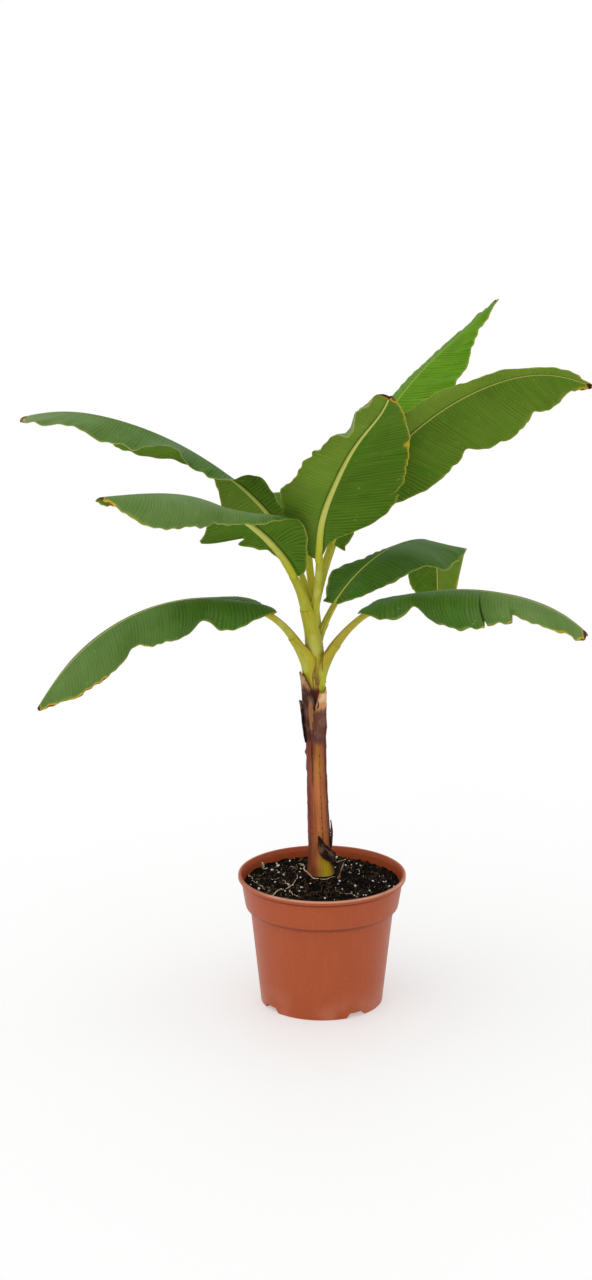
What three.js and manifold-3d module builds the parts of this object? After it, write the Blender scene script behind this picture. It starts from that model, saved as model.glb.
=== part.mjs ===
import * as THREE from "three";
import { mergeVertices } from "three/addons/utils/BufferGeometryUtils.js";
import Module from "manifold-3d";

const wasm = await Module();
wasm.setup();

// Millimetres, +Z up. The origin is the centre of the pot's flat underside; the viewer stands at -Y.
const CLEAR = 0.3;

// Pot: radii outside, heights above the underside.
const POT_HEIGHT = 188;
const RIM_RADIUS = 120;
const LIP_HEIGHT = 6.5;
const LIP_ROUND = 1.6;
const BAND_TOP_RADIUS = 115.5;
const BAND_LOW_RADIUS = 110;
const BAND_LOW_Z = 140;
const LEDGE_RADIUS = 102.5;
const LEDGE_Z = 133;
const FOOT_RADIUS = 87.5;
const FOOT_ROUND = 1.5;
const POT_WALL = 2.4;
const POT_FLOOR = 10;
const POT_SEGMENTS = 48;
const NOTCHES = 4;
const NOTCH_TURN = -56;
const NOTCH_WIDE = 38;
const NOTCH_TOP = 22;
const NOTCH_HIGH = 7;
const NOTCH_DEEP = 2;

// Soil: level at the wall, flat spot round the stem.
const SOIL_EDGE_Z = 176;
const SOIL_SPOT_Z = 183;
const SOIL_SPOT_RADIUS = 27;
const SOIL_SEGMENTS = 40;
const SOIL_RINGS = 5;
const SOIL_LUMP = 2.2;

// Stem: centre line and radius at even heights from the soil to the fork.
const STEM_X = [-2, -3, -5, -7, -8.5, -9.5, -9, -8, -6.5];
const STEM_Y = [20, 18, 16, 14, 12, 10, 8, 7, 7];
const STEM_RADIUS = [19.6, 18.8, 17.8, 17, 16.6, 16.8, 15.2, 12, 7];
const STEM_TOP_Z = 580;
const FLARE = 5.5;
const FLARE_FALL = 14;
const STEM_RINGS = 22;
const STEM_SIDES = 20;

// Petioles and blades.
const RIB_TIP = 1.1;
const RIB_DEEP = 0.85;
const GROOVE = 0.45;
const PETIOLE_RINGS = 11;
const PETIOLE_SIDES = 10;
const SHEATH_REACH = 70;
const GROW_MORE = 1.25;
const THICK_PER_LENGTH = 0.011;
const BLADE_RINGS = 22;
const ACROSS = [0.33, 0.68, 1];
const RIB_SHARE = [0.07, 0.5];
const BASE_MARGIN = 0.0005;
const RIB_FADE = 6;
const END_MARGIN = 0.985;
const SMALLEST_HALF = 2.2;
const COURSE_STEPS = 160;
const CURL_STEPS = 20;
const ROUND_BASE = 0.42;
const ROUND_TIP = 0.5;
const SLANT = [-0.25, 0.25, 0.45, 0.9];
const RIB_COLOUR = 0x9aa83a;

// Each leaf: foot of its petiole, whole length, petiole length, petiole radius at the sheath and at
// the blade, bearing and climb in degrees at even steps. Each half blade: widest reach, its share
// at even steps, the angle above level next to the rib and at the margin, and bites in the margin.
const LEAVES = {
  lower_left: {
    foot: [-9, 0, 464], length: 540, petiole: 150, radius: [11, 6], colour: 0x2f6b25,
    bearing: [-153, -154, -156, -154, -158, -157, -168], climb: [80, 56, 22, 3, -20, -40, -62],
    left: {
      wide: 60, root: [35, -5, -10, -10, -10], edge: [-20, -110, -95, -80, -70],
      share: [1.5, 1.3, 1.25, 1.1, 1.1, 1, 1.15, 1.28, 1.2, 0.85, 0.5],
      bites: [[0.26, 0.4, 0.035], [0.54, 0.2, 0.05]],
    },
    right: {
      wide: 62, root: [35, -5, -10, -10, -10], edge: [-40, -110, -100, -80, -70],
      share: [1.2, 1.2, 1, 1, 1, 1, 1, 1, 1, 0.8, 0.5], bites: [[0.4, 0.15, 0.05]],
    },
  },
  lower_right: {
    foot: [-1, 0, 464], length: 492, petiole: 140, radius: [10, 5.5], colour: 0x2f6e24,
    bearing: [-51, -18, -29, -28, -27, -25, -20], climb: [84, 59, 30, 15, 3, -17, -46],
    left: {
      wide: 60, root: [30, 0, -5, -5, -5], edge: [-20, -90, -80, -80, -70],
      share: [1, 1, 1, 1, 1, 0.9, 0.8], bites: [[0.6, 0.2, 0.05]],
    },
    right: {
      wide: 62, root: [30, 0, -5, -5, -5], edge: [-20, -90, -90, -80, -70],
      share: [1, 1.08, 1.05, 1.05, 1.2, 1.15, 0.95, 0.75, 0.7, 0.65, 0.75],
      bites: [[0.26, 0.55, 0.05]],
    },
  },
  middle_left: {
    foot: [-6, 0, 478], length: 559, petiole: 170, radius: [12, 6], colour: 0x477f2c,
    bearing: [-101, -136, -139, -133, -137, -141, -145], climb: [81, 75, 53, 37, 25, 8, 2],
    left: {
      wide: 80, root: [20, 50, 70, 60, 30, 0, -5, -5, -5, -5, -5],
      edge: [10, 20, -10, -70, -95, -85, -80, -80, -80, -80, -60],
      share: [0.6, 0.7, 0.9, 0.8, 0.7, 0.6, 0.85, 0.95, 0.95, 0.75, 0.5], bites: [],
    },
    right: {
      wide: 80, root: [-10, -20, -20, -20, -20], edge: [-30, -50, -60, -60, -60],
      share: [0.2, 0.25, 0.5, 0.92, 0.85, 0.7, 0.6, 0.6, 0.6, 0.6, 0.5],
      bites: [[0.28, 0.2, 0.025]],
    },
  },
  upper_left: {
    foot: [-6, 10, 534], length: 589, petiole: 140, radius: [7.5, 5.5], colour: 0x43762f,
    bearing: [180, 163, 186, 190, 194, 190, 197], climb: [81, 71, 49, 39, 24, 9, -10],
    left: {
      wide: 75, root: [60, 60, 35, -10, -15, -5, -20, -20, -10, 0, 0],
      edge: [50, 55, 35, -25, -35, 5, -35, -40, -15, 0, 0],
      share: [1.1, 1.5, 1.3, 0.8, 0.75, 0.9, 0.85, 0.8, 0.8, 0.8, 0.6], bites: [],
    },
    right: {
      wide: 75, root: [-50, -40, -20, -20, -20], edge: [-60, -60, -50, -60, -60],
      share: [0.9, 0.9, 0.75, 0.4, 0.7, 1.05, 0.9, 0.7, 0.45, 0.45, 0.3], bites: [],
    },
  },
  front: {
    foot: [-4, -10, 539], length: 453, petiole: 130, radius: [8, 6], colour: 0x47732a,
    bearing: [-87, -92, -80, -59, -54, -56, -76], climb: [72, 74, 70, 60, 54, 43, 42],
    left: {
      wide: 88, root: [-10, -10, -10, -5, 0], edge: [-30, -35, -30, -20, -60],
      share: [0.1, 0.4, 0.95, 1.05, 1, 0.92, 0.86, 0.7, 0.52, 0.3, 0.25], bites: [],
    },
    right: {
      wide: 80, root: [35, 32, 22, 10, 5], edge: [35, 15, -30, -70, -80], curl: 3,
      share: [1.2, 1.15, 1, 0.92, 0.76, 0.85, 0.78, 0.72, 0.9, 1.1, 1.2],
      bites: [[0.42, 0.12, 0.03]],
    },
  },
  right_upper: {
    foot: [-1, 8, 536], length: 612, petiole: 160, radius: [8, 6], colour: 0x4a7a2c,
    bearing: [-50, -42, -29, -25, -22, -19, -15], climb: [80, 74, 59, 49, 36, 16, -15],
    roll: [0, -10, -30, -45, -50, -50, -50],
    left: {
      wide: 100, root: [0, -10, -20, -20, -10], edge: [-30, -40, -40, -40, -30],
      share: [0.4, 0.42, 0.66, 0.82, 0.78, 0.8, 0.86, 0.7, 0.64, 0.38, 0.3],
      bites: [[0.465, 0.18, 0.035], [0.73, 0.1, 0.03]],
    },
    right: {
      wide: 90, root: [0, -10, -20, -20, -10], edge: [-40, -40, -50, -50, -40],
      share: [0.5, 0.7, 0.8, 0.85, 0.92, 1, 0.9, 0.78, 0.75, 0.5, 0.25], bites: [],
    },
  },
  back_right: {
    foot: [-6, 20, 560], length: 530, petiole: 160, radius: [7, 5], colour: 0x5f9a26,
    bearing: [48, 29, 32, 28, 25, 21, 23], climb: [76, 73, 67, 60, 46, 38, 41],
    left: {
      wide: 60, root: [-20, -20, -20, -20, -20], edge: [-28, -28, -28, -28, -28],
      share: [1, 1, 1, 0.9, 0.8, 0.6], bites: [],
    },
    right: {
      wide: 80, root: [10, 0, 0, 0, 20], edge: [-10, -10, -10, -10, 10],
      share: [1.2, 1.2, 1.2, 1.2, 1.2, 1.2, 1.05, 0.75, 0.5, 0.35, 0.3], bites: [],
    },
  },
  middle_right: {
    foot: [-1, 0, 525], length: 420, petiole: 88, radius: [7, 5], colour: 0x2f6627,
    bearing: [29, 47, 49, 50, 57, 77, 79], climb: [76, 47, 25, 6, -15, -62, -80],
    left: {
      wide: 56, root: [10, 0, -30, -20, -5], edge: [30, -20, -50, -60, -50],
      share: [0.9, 0.9, 0.7, 0.5, 0.6, 0.8, 0.8], bites: [],
    },
    right: {
      wide: 64, root: [0, -10, 10, -5, -5, -5, -5], edge: [-40, -40, -45, -55, -15, -20, -30],
      share: [0.5, 0.9, 0.85, 1.15, 0.9, 0.8, 0.9], bites: [],
    },
  },
  back: {
    foot: [-6, 18, 540], length: 440, petiole: 125, radius: [7, 5], colour: 0x34692a,
    bearing: [100, 92, 84, 78, 74, 72, 70], climb: [78, 66, 48, 30, 12, -8, -28],
    left: {
      wide: 62, root: [30, 15, 0, -5, -5], edge: [20, 0, -30, -40, -40],
      share: [1, 1, 0.95, 1, 0.9, 0.9], bites: [[0.5, 0.15, 0.04]],
    },
    right: {
      wide: 62, root: [30, 15, 0, -5, -5], edge: [20, 0, -30, -40, -40],
      share: [1, 0.95, 1, 1, 0.9, 0.8], bites: [[0.35, 0.12, 0.04]],
    },
  },
};

// Dry sheaths that clasp the stem: compass angle of the middle, half span in degrees at foot and
// tip, foot and tip height, how far the tip stands off, thickness and colour.
const SHEATHS = {
  dry_sheath_left: {
    turn: 198, half: [60, 12], low: 395, high: 468, stand: 9, thick: 1.8, colour: 0x6e3a26,
  },
  dry_sheath_curl: {
    turn: 170, half: [24, 8], low: 340, high: 424, stand: 8, thick: 1.8, colour: 0x3c2119,
  },
  dry_sheath_right: {
    turn: -62, half: [44, 10], low: 330, high: 446, stand: 3, thick: 1.8, colour: 0xb98a5c,
  },
  dry_sheath_foot: {
    turn: -40, half: [52, 12], low: 190, high: 262, stand: 4, thick: 1.8, colour: 0x33201a,
  },
};
const SHEATH_RINGS = 8;
const SHEATH_ARC = 6;
const SHEATH_CLEAR = 0.55;

const rad = THREE.MathUtils.degToRad;
const clamp = THREE.MathUtils.clamp;

function smoothList(values, place) {
  const last = values.length - 1;
  const x = clamp(place, 0, 1) * last;
  const i = Math.min(Math.floor(x), last - 1);
  const f = x - i;
  const at = (k) => values[clamp(k, 0, last)];
  const [a, b, c, d] = [at(i - 1), at(i), at(i + 1), at(i + 2)];
  const square = (2 * a - 5 * b + 4 * c - d) * f * f;
  const cube = (3 * b - a - 3 * c + d) * f * f * f;
  return 0.5 * (2 * b + (c - a) * f + square + cube);
}

function mix(a, b, f) {
  return a + (b - a) * f;
}

function toSolid(geometry) {
  const bare = geometry.clone();
  bare.deleteAttribute("normal");
  bare.deleteAttribute("uv");
  const merged = mergeVertices(bare, 1e-3);
  const index = Array.from(merged.index.array);
  const kept = [];
  for (let i = 0; i < index.length; i += 3) {
    const [a, b, c] = index.slice(i, i + 3);
    if (a !== b && b !== c && a !== c) {
      kept.push(a, b, c);
    }
  }
  const mesh = new wasm.Mesh({
    numProp: 3,
    vertProperties: new Float32Array(merged.attributes.position.array),
    triVerts: new Uint32Array(kept),
  });
  return new wasm.Manifold(mesh);
}

function toGeometry(solid) {
  const mesh = solid.getMesh();
  const geometry = new THREE.BufferGeometry();
  geometry.setAttribute("position", new THREE.BufferAttribute(mesh.vertProperties, 3));
  geometry.setIndex(new THREE.BufferAttribute(mesh.triVerts, 1));
  geometry.computeVertexNormals();
  return geometry;
}

function largestPart(solid) {
  const parts = solid.decompose();
  parts.sort((a, b) => b.volume() - a.volume());
  return parts[0];
}

// A closed skin over rings of equal, even length; each end is a strip between facing points.
function loft(rings) {
  const count = rings[0].length;
  const positions = [];
  rings.forEach((ring) => ring.forEach((p) => positions.push(p.x, p.y, p.z)));
  const index = [];
  for (let i = 0; i < rings.length - 1; i += 1) {
    for (let j = 0; j < count; j += 1) {
      const a = i * count + j;
      const b = i * count + ((j + 1) % count);
      index.push(a, b, b + count, a, b + count, a + count);
    }
  }
  const end = (rings.length - 1) * count;
  for (let j = 0; j < count / 2 - 1; j += 1) {
    const [a, b] = [j, j + 1];
    const [c, d] = [count - 2 - j, count - 1 - j];
    index.push(a, c, b, a, d, c);
    index.push(end + a, end + b, end + c, end + a, end + c, end + d);
  }
  const geometry = new THREE.BufferGeometry();
  geometry.setAttribute("position", new THREE.BufferAttribute(new Float32Array(positions), 3));
  geometry.setIndex(index);
  const solid = toSolid(geometry);
  return solid.volume() < 0 ? toSolid(turned(geometry)) : solid;
}

function turned(geometry) {
  const index = geometry.index.array;
  for (let i = 0; i < index.length; i += 3) {
    [index[i + 1], index[i + 2]] = [index[i + 2], index[i + 1]];
  }
  return geometry;
}

function stations(leaf) {
  const list = [];
  const point = new THREE.Vector3(...leaf.foot);
  const step = leaf.length / COURSE_STEPS;
  for (let i = 0; i <= COURSE_STEPS; i += 1) {
    const u = i / COURSE_STEPS;
    const climb = rad(smoothList(leaf.climb, u));
    const bearing = rad(smoothList(leaf.bearing, u));
    const roll = rad(smoothList(leaf.roll ?? [0, 0], u));
    const flat = Math.cos(climb);
    const ahead = new THREE.Vector3(
      flat * Math.cos(bearing), flat * Math.sin(bearing), Math.sin(climb));
    const level = new THREE.Vector3(-Math.sin(bearing), Math.cos(bearing), 0);
    const above = ahead.clone().cross(level);
    const side = level.clone().multiplyScalar(Math.cos(roll));
    side.addScaledVector(above, Math.sin(roll));
    const up = ahead.clone().cross(side);
    if (i > 0) {
      point.addScaledVector(ahead, step / 2).addScaledVector(list[i - 1].ahead, step / 2);
    }
    list.push({ point: point.clone(), ahead, side, up });
  }
  return list;
}

function stationAt(list, u) {
  const x = clamp(u, 0, 1) * COURSE_STEPS;
  const i = Math.min(Math.floor(x), COURSE_STEPS - 1);
  const f = x - i;
  const blend = (key) => list[i][key].clone().lerp(list[i + 1][key], f);
  return { point: blend("point"), ahead: blend("ahead"), side: blend("side"), up: blend("up") };
}

function outline(s) {
  const total = ROUND_BASE + ROUND_TIP;
  const peak = (ROUND_BASE / total) ** ROUND_BASE * (ROUND_TIP / total) ** ROUND_TIP;
  return (s ** ROUND_BASE * (1 - s) ** ROUND_TIP) / peak;
}

function reach(half, s) {
  let wide = half.wide * outline(s) * smoothList(half.share, s);
  half.bites.forEach(([place, depth, spread]) => {
    wide *= 1 - depth * Math.exp(-(((s - place) / spread) ** 2));
  });
  return wide;
}

function ribRadius(leaf, s) {
  return mix(leaf.radius[1], RIB_TIP, s);
}

// Points of one half blade at share s of its length, from the rib out to the margin.
function halfRow(leaf, list, s, sign, grow) {
  const half = sign > 0 ? leaf.left : leaf.right;
  const start = leaf.petiole / leaf.length;
  const at = stationAt(list, mix(start, 1, s));
  const root = smoothList(half.root, s);
  const edge = smoothList(half.edge, s);
  const rib = ribRadius(leaf, s);
  const wide = Math.max(reach(half, s), mix(leaf.radius[1], SMALLEST_HALF, clamp(s * RIB_FADE, 0, 1)));
  const curl = half.curl ?? 1.3;
  const slant = smoothList(SLANT, s);
  const path = [new THREE.Vector3()];
  for (let k = 0; k < CURL_STEPS; k += 1) {
    const angle = rad(mix(root, edge, ((k + 0.5) / CURL_STEPS) ** curl));
    const next = path[k].clone();
    next.addScaledVector(at.side, sign * Math.cos(angle) * (wide + grow) / CURL_STEPS);
    next.addScaledVector(at.up, Math.sin(angle) * (wide + grow) / CURL_STEPS);
    path.push(next);
  }
  const beside = clamp(rib / wide, ...RIB_SHARE);
  const shares = [0, beside, ...ACROSS.map((t) => mix(beside, 1, t))];
  return shares.map((t) => {
    const x = t * CURL_STEPS;
    const k = Math.min(Math.floor(x), CURL_STEPS - 1);
    const offset = path[k].clone().lerp(path[k + 1], x - k);
    return at.point.clone().add(offset).addScaledVector(at.ahead, slant * wide * t ** 1.6);
  });
}

function bladeSheet(leaf, list, grow) {
  const rows = [];
  for (let i = 0; i <= BLADE_RINGS; i += 1) {
    const even = i / BLADE_RINGS;
    const eased = (1 - Math.cos(Math.PI * even)) / 2;
    const s = mix(BASE_MARGIN, END_MARGIN, mix(even, eased, 0.3));
    const right = halfRow(leaf, list, s, -1, grow);
    const left = halfRow(leaf, list, s, 1, grow);
    rows.push([...right.slice(1).reverse(), ...left]);
  }
  return rows;
}

function sheetNormal(rows, i, j) {
  const row = rows[i];
  const across = row[Math.min(j + 1, row.length - 1)].clone().sub(row[Math.max(j - 1, 0)]);
  const ahead = rows[Math.min(i + 1, rows.length - 1)][j].clone();
  ahead.sub(rows[Math.max(i - 1, 0)][j]);
  return ahead.cross(across).normalize();
}

function bladeSolid(leaf, list, grow) {
  const rows = bladeSheet(leaf, list, grow);
  const thick = (leaf.length - leaf.petiole) * THICK_PER_LENGTH;
  const middle = ACROSS.length + 1;
  const rings = rows.map((row, i) => {
    const rib = ribRadius(leaf, i / BLADE_RINGS);
    const normals = row.map((_, j) => sheetNormal(rows, i, j));
    const top = row.map((p, j) => p.clone().addScaledVector(normals[j], thick / 2 + grow));
    const under = row.map((p, j) => {
      const deep = j === middle ? rib * 2 * RIB_DEEP : 0;
      return p.clone().addScaledVector(normals[j], -Math.max(thick / 2, deep) - grow);
    });
    return [...top, ...under.reverse()];
  });
  return loft(rings);
}

// A petiole's section: round below, grooved above.
function petioleRing(at, radius, grow, groove) {
  const ring = [];
  for (let k = 0; k < PETIOLE_SIDES; k += 1) {
    const angle = ((k + 0.5) / PETIOLE_SIDES) * 2 * Math.PI;
    const lift = Math.sin(angle);
    const high = lift > 0 ? lift * (1 - groove * (1 - Math.abs(Math.cos(angle)))) : lift;
    const p = at.point.clone().addScaledVector(at.side, Math.cos(angle) * (radius + grow));
    ring.push(p.addScaledVector(at.up, high * (radius + grow) - RIB_DEEP * 0.6 * radius));
  }
  return ring;
}

function petioleSolid(leaf, list, grow) {
  const rings = [];
  const length = leaf.petiole - CLEAR - 0.1 + grow;
  for (let i = 0; i <= PETIOLE_RINGS; i += 1) {
    const along = (i / PETIOLE_RINGS) * length;
    const swell = Math.exp(-((along / SHEATH_REACH) ** 2));
    const radius = mix(leaf.radius[1], leaf.radius[0], swell);
    const groove = GROOVE * (1 - swell);
    const at = stationAt(list, along / leaf.length);
    if (i === 0) {
      at.point.addScaledVector(at.ahead, -2 * grow);
    }
    rings.push(petioleRing(at, radius, grow * GROW_MORE, groove));
  }
  return loft(rings);
}

function stemPoint(z) {
  const u = (z - SOIL_SPOT_Z) / (STEM_TOP_Z - SOIL_SPOT_Z);
  return new THREE.Vector3(smoothList(STEM_X, u), smoothList(STEM_Y, u), z);
}

function stemRadius(z) {
  const u = (z - SOIL_SPOT_Z) / (STEM_TOP_Z - SOIL_SPOT_Z);
  return smoothList(STEM_RADIUS, u) + FLARE * Math.exp(-(z - SOIL_SPOT_Z) / FLARE_FALL);
}

function stemSolid(grow) {
  const rings = [];
  const low = SOIL_SPOT_Z + CLEAR;
  for (let i = 0; i <= STEM_RINGS; i += 1) {
    const z = mix(low, STEM_TOP_Z + grow, (i / STEM_RINGS) ** 1.25);
    const centre = stemPoint(z);
    const radius = stemRadius(z) + grow;
    const ring = [];
    for (let k = 0; k < STEM_SIDES; k += 1) {
      const angle = ((k + 0.5) / STEM_SIDES) * 2 * Math.PI;
      const lobe = 1 + 0.035 * Math.sin(3 * angle + z / 60) * (1 - i / STEM_RINGS);
      const out = new THREE.Vector3(Math.cos(angle), Math.sin(angle), 0);
      ring.push(centre.clone().addScaledVector(out, radius * lobe));
    }
    rings.push(ring);
  }
  return loft(rings);
}

function sheathSolid(sheath) {
  const rings = [];
  for (let i = 0; i <= SHEATH_RINGS; i += 1) {
    const f = i / SHEATH_RINGS;
    const z = mix(sheath.low, sheath.high, f);
    const centre = stemPoint(z);
    const half = mix(sheath.half[0], sheath.half[1], f ** 1.4);
    const inner = stemRadius(z) * 1.04 + SHEATH_CLEAR + sheath.stand * f ** 2.2;
    const thick = sheath.thick;
    const [near, far] = [[], []];
    for (let k = 0; k <= SHEATH_ARC; k += 1) {
      const angle = rad(sheath.turn + mix(-half, half, k / SHEATH_ARC));
      const out = new THREE.Vector3(Math.cos(angle), Math.sin(angle), 0);
      near.push(centre.clone().addScaledVector(out, inner));
      far.push(centre.clone().addScaledVector(out, inner + thick));
    }
    rings.push([...near, ...far.reverse()]);
  }
  return loft(rings);
}

function potProfile() {
  const lipLow = POT_HEIGHT - LIP_HEIGHT;
  const band = BAND_TOP_RADIUS - POT_WALL;
  return [
    [0, 0], [FOOT_RADIUS - FOOT_ROUND, 0], [FOOT_RADIUS, FOOT_ROUND],
    [LEDGE_RADIUS, LEDGE_Z], [BAND_LOW_RADIUS - 1.5, BAND_LOW_Z - 3.5],
    [BAND_LOW_RADIUS, BAND_LOW_Z], [BAND_TOP_RADIUS, lipLow],
    [RIM_RADIUS - LIP_ROUND / 2, lipLow], [RIM_RADIUS, lipLow + LIP_ROUND],
    [RIM_RADIUS, POT_HEIGHT - LIP_ROUND], [RIM_RADIUS - LIP_ROUND, POT_HEIGHT],
    [band + LIP_ROUND, POT_HEIGHT], [band, POT_HEIGHT - LIP_ROUND],
    [BAND_LOW_RADIUS - POT_WALL, BAND_LOW_Z], [LEDGE_RADIUS - POT_WALL, LEDGE_Z - 2],
    [FOOT_RADIUS - POT_WALL, POT_FLOOR + FOOT_ROUND],
    [FOOT_RADIUS - POT_WALL - FOOT_ROUND, POT_FLOOR], [0, POT_FLOOR],
  ];
}

function lathe(profile, segments) {
  const points = profile.map(([r, z]) => new THREE.Vector2(r, z));
  const geometry = new THREE.LatheGeometry(points, segments);
  geometry.rotateX(Math.PI / 2);
  const solid = toSolid(geometry);
  if (solid.volume() > 0) {
    return solid;
  }
  return toSolid(turned(geometry));
}

function notchCutter(turn) {
  const inside = FOOT_RADIUS - NOTCH_DEEP;
  const outside = FOOT_RADIUS + 20;
  const side = (x) => {
    const low = new THREE.Vector3(x, -NOTCH_WIDE / 2, -1);
    return [
      low, low.clone().setY(NOTCH_WIDE / 2),
      new THREE.Vector3(x, NOTCH_TOP / 2, NOTCH_HIGH),
      new THREE.Vector3(x, -NOTCH_TOP / 2, NOTCH_HIGH),
    ];
  };
  return loft([side(inside - 12), side(outside)]).rotate([0, 0, turn]);
}

function potSolid() {
  let pot = lathe(potProfile(), POT_SEGMENTS);
  for (let k = 0; k < NOTCHES; k += 1) {
    pot = pot.subtract(notchCutter(NOTCH_TURN + (k * 360) / NOTCHES));
  }
  return pot;
}

function lump(x, y) {
  const wide = Math.sin(x * 0.11 + 1.3) * Math.cos(y * 0.13 - 0.4);
  const fine = Math.sin(x * 0.37 - y * 0.29 + 2.1) * 0.5;
  return (wide + fine) * SOIL_LUMP * 0.6;
}

function soilWall() {
  const inset = POT_WALL + CLEAR + 0.5;
  const share = (SOIL_EDGE_Z - BAND_LOW_Z) / (POT_HEIGHT - LIP_ROUND - BAND_LOW_Z);
  return [
    [FOOT_RADIUS - inset - 30, POT_FLOOR + CLEAR + 0.2],
    [FOOT_RADIUS - FOOT_ROUND - inset, POT_FLOOR + CLEAR + 0.2],
    [FOOT_RADIUS - inset, POT_FLOOR + FOOT_ROUND + CLEAR + 0.2],
    [LEDGE_RADIUS - inset, LEDGE_Z - 2],
    [BAND_LOW_RADIUS - inset, BAND_LOW_Z],
    [mix(BAND_LOW_RADIUS, BAND_TOP_RADIUS, share) - inset, SOIL_EDGE_Z],
  ];
}

function soilRing(centre, radius, height) {
  const ring = [];
  for (let k = 0; k < SOIL_SEGMENTS; k += 1) {
    const angle = (k / SOIL_SEGMENTS) * 2 * Math.PI;
    const x = centre.x + Math.cos(angle) * radius;
    const y = centre.y + Math.sin(angle) * radius;
    ring.push(new THREE.Vector3(x, y, height(x, y)));
  }
  return ring;
}

// Soil fills the pot: rings up the wall, then rings over the top to the flat spot at the stem.
function soilSolid() {
  const stem = stemPoint(SOIL_SPOT_Z);
  const wall = soilWall();
  const rings = wall.map(([r, z]) => soilRing(new THREE.Vector3(), r, () => z));
  const edge = wall[wall.length - 1][0];
  for (let i = 1; i <= SOIL_RINGS; i += 1) {
    const f = i / SOIL_RINGS;
    const centre = new THREE.Vector3().lerp(stem, f);
    const radius = mix(edge, SOIL_SPOT_RADIUS, f);
    const calm = Math.sin(Math.PI * f);
    const rise = mix(SOIL_EDGE_Z, SOIL_SPOT_Z, f ** 1.5);
    rings.push(soilRing(centre, radius, (x, y) => rise + lump(x, y) * calm));
  }
  return loft(rings);
}

const GROWN = [];

function clearOf(solid) {
  let result = solid;
  GROWN.forEach((other) => {
    result = result.subtract(other);
  });
  return largestPart(result);
}

const group = new THREE.Group();

function addPiece(name, solid, colour, roughness) {
  const material = new THREE.MeshStandardMaterial({ color: colour, roughness, metalness: 0 });
  const mesh = new THREE.Mesh(toGeometry(solid), material);
  mesh.name = name;
  group.add(mesh);
}

function addStemAndSheaths() {
  addPiece("pseudostem", stemSolid(0), 0x8a4a2c, 0.55);
  GROWN.push(stemSolid(CLEAR));
  Object.entries(SHEATHS).forEach(([name, sheath]) => {
    addPiece(name, clearOf(sheathSolid(sheath)), sheath.colour, 0.75);
  });
}

function addLeaves() {
  const courses = Object.fromEntries(
    Object.entries(LEAVES).map(([name, leaf]) => [name, stations(leaf)]));
  Object.entries(LEAVES).forEach(([name, leaf]) => {
    const petiole = clearOf(petioleSolid(leaf, courses[name], 0));
    addPiece(`petiole_${name}`, petiole, RIB_COLOUR, 0.45);
    GROWN.push(petioleSolid(leaf, courses[name], CLEAR));
  });
  Object.entries(LEAVES).forEach(([name, leaf]) => {
    const blade = clearOf(bladeSolid(leaf, courses[name], 0));
    addPiece(`leaf_${name}`, blade, leaf.colour, 0.45);
    GROWN.push(bladeSolid(leaf, courses[name], CLEAR));
  });
}

addPiece("pot", potSolid(), 0xa55537, 0.5);
addPiece("soil", soilSolid(), 0x1c1512, 0.95);
addStemAndSheaths();
addLeaves();

export default group;
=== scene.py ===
import math

import bmesh
import bpy
import numpy as np
from bpy.props import FloatProperty, FloatVectorProperty, IntProperty, PointerProperty
from mathutils import Matrix


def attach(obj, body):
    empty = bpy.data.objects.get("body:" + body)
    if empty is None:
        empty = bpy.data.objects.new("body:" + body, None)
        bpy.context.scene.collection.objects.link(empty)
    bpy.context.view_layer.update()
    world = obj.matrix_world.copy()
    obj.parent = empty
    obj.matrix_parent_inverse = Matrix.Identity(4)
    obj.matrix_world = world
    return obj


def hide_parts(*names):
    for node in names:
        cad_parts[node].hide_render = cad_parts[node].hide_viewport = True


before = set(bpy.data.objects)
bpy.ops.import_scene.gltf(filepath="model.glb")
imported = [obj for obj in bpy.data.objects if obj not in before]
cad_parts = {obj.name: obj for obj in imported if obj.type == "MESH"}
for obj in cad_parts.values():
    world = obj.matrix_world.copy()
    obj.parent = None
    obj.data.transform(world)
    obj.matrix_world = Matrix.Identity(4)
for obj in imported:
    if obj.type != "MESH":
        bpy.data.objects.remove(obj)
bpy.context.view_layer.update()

bl_info = {
    "name": "Potted Banana Plant",
    "version": (1, 0, 0),
    "blender": (4, 5, 0),
    "location": "View3D > Sidebar > Banana Plant",
    "description": "Builds a young banana plant in a nursery pot around its packed solids",
    "category": "Add Mesh",
}

# The tables are in millimetres and degrees; everything that is built is in metres.
MM = 0.001

# The stem's centre and radius at even steps from its foot in the soil to its tip, and the flare at
# its foot with the height over which that fades.
STEM_X = [-2, -3, -5, -7, -8.5, -9.7, -11, -13, -14]
STEM_Y = [20, 18, 16, 14, 12, 10, 8, 7, 7]
STEM_RADIUS = [17, 16.1, 15.2, 14.2, 14.2, 14.8, 13.8, 11, 6]
STEM_LOW = 183
STEM_HIGH = 580
FLARE = 3.5
FLARE_FALL = 14

# Rings and sides of the stem's skin; the edges of old sheaths that wind up it, each by its turn at
# EDGE_HEIGHT and its lean; heights of the scars that ring it; height and turn, in radians, of a
# knot.
STEM_RINGS = 300
STEM_SIDES = 144
STEM_EDGES = ((-105, 0.10), (75, -0.08), (-20, 0.16))
EDGE_HEIGHT = 300
STEM_SCARS = (248, 292, 338, 372, 408)
KNOT_HEIGHT = 368
KNOT_TURN = 3.0

# The soil's mound round the stem: its rise and spread, and how close to the stem bits may lie.
MOUND = 10.5
MOUND_SPREAD = 45
BARE_ROUND_STEM = 26
FIBRES = 240

# Height of the pot's lip below its rim, and thickness of its floor above the ground.
LIP = 6.5
POT_FLOOR = 10.5

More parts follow.
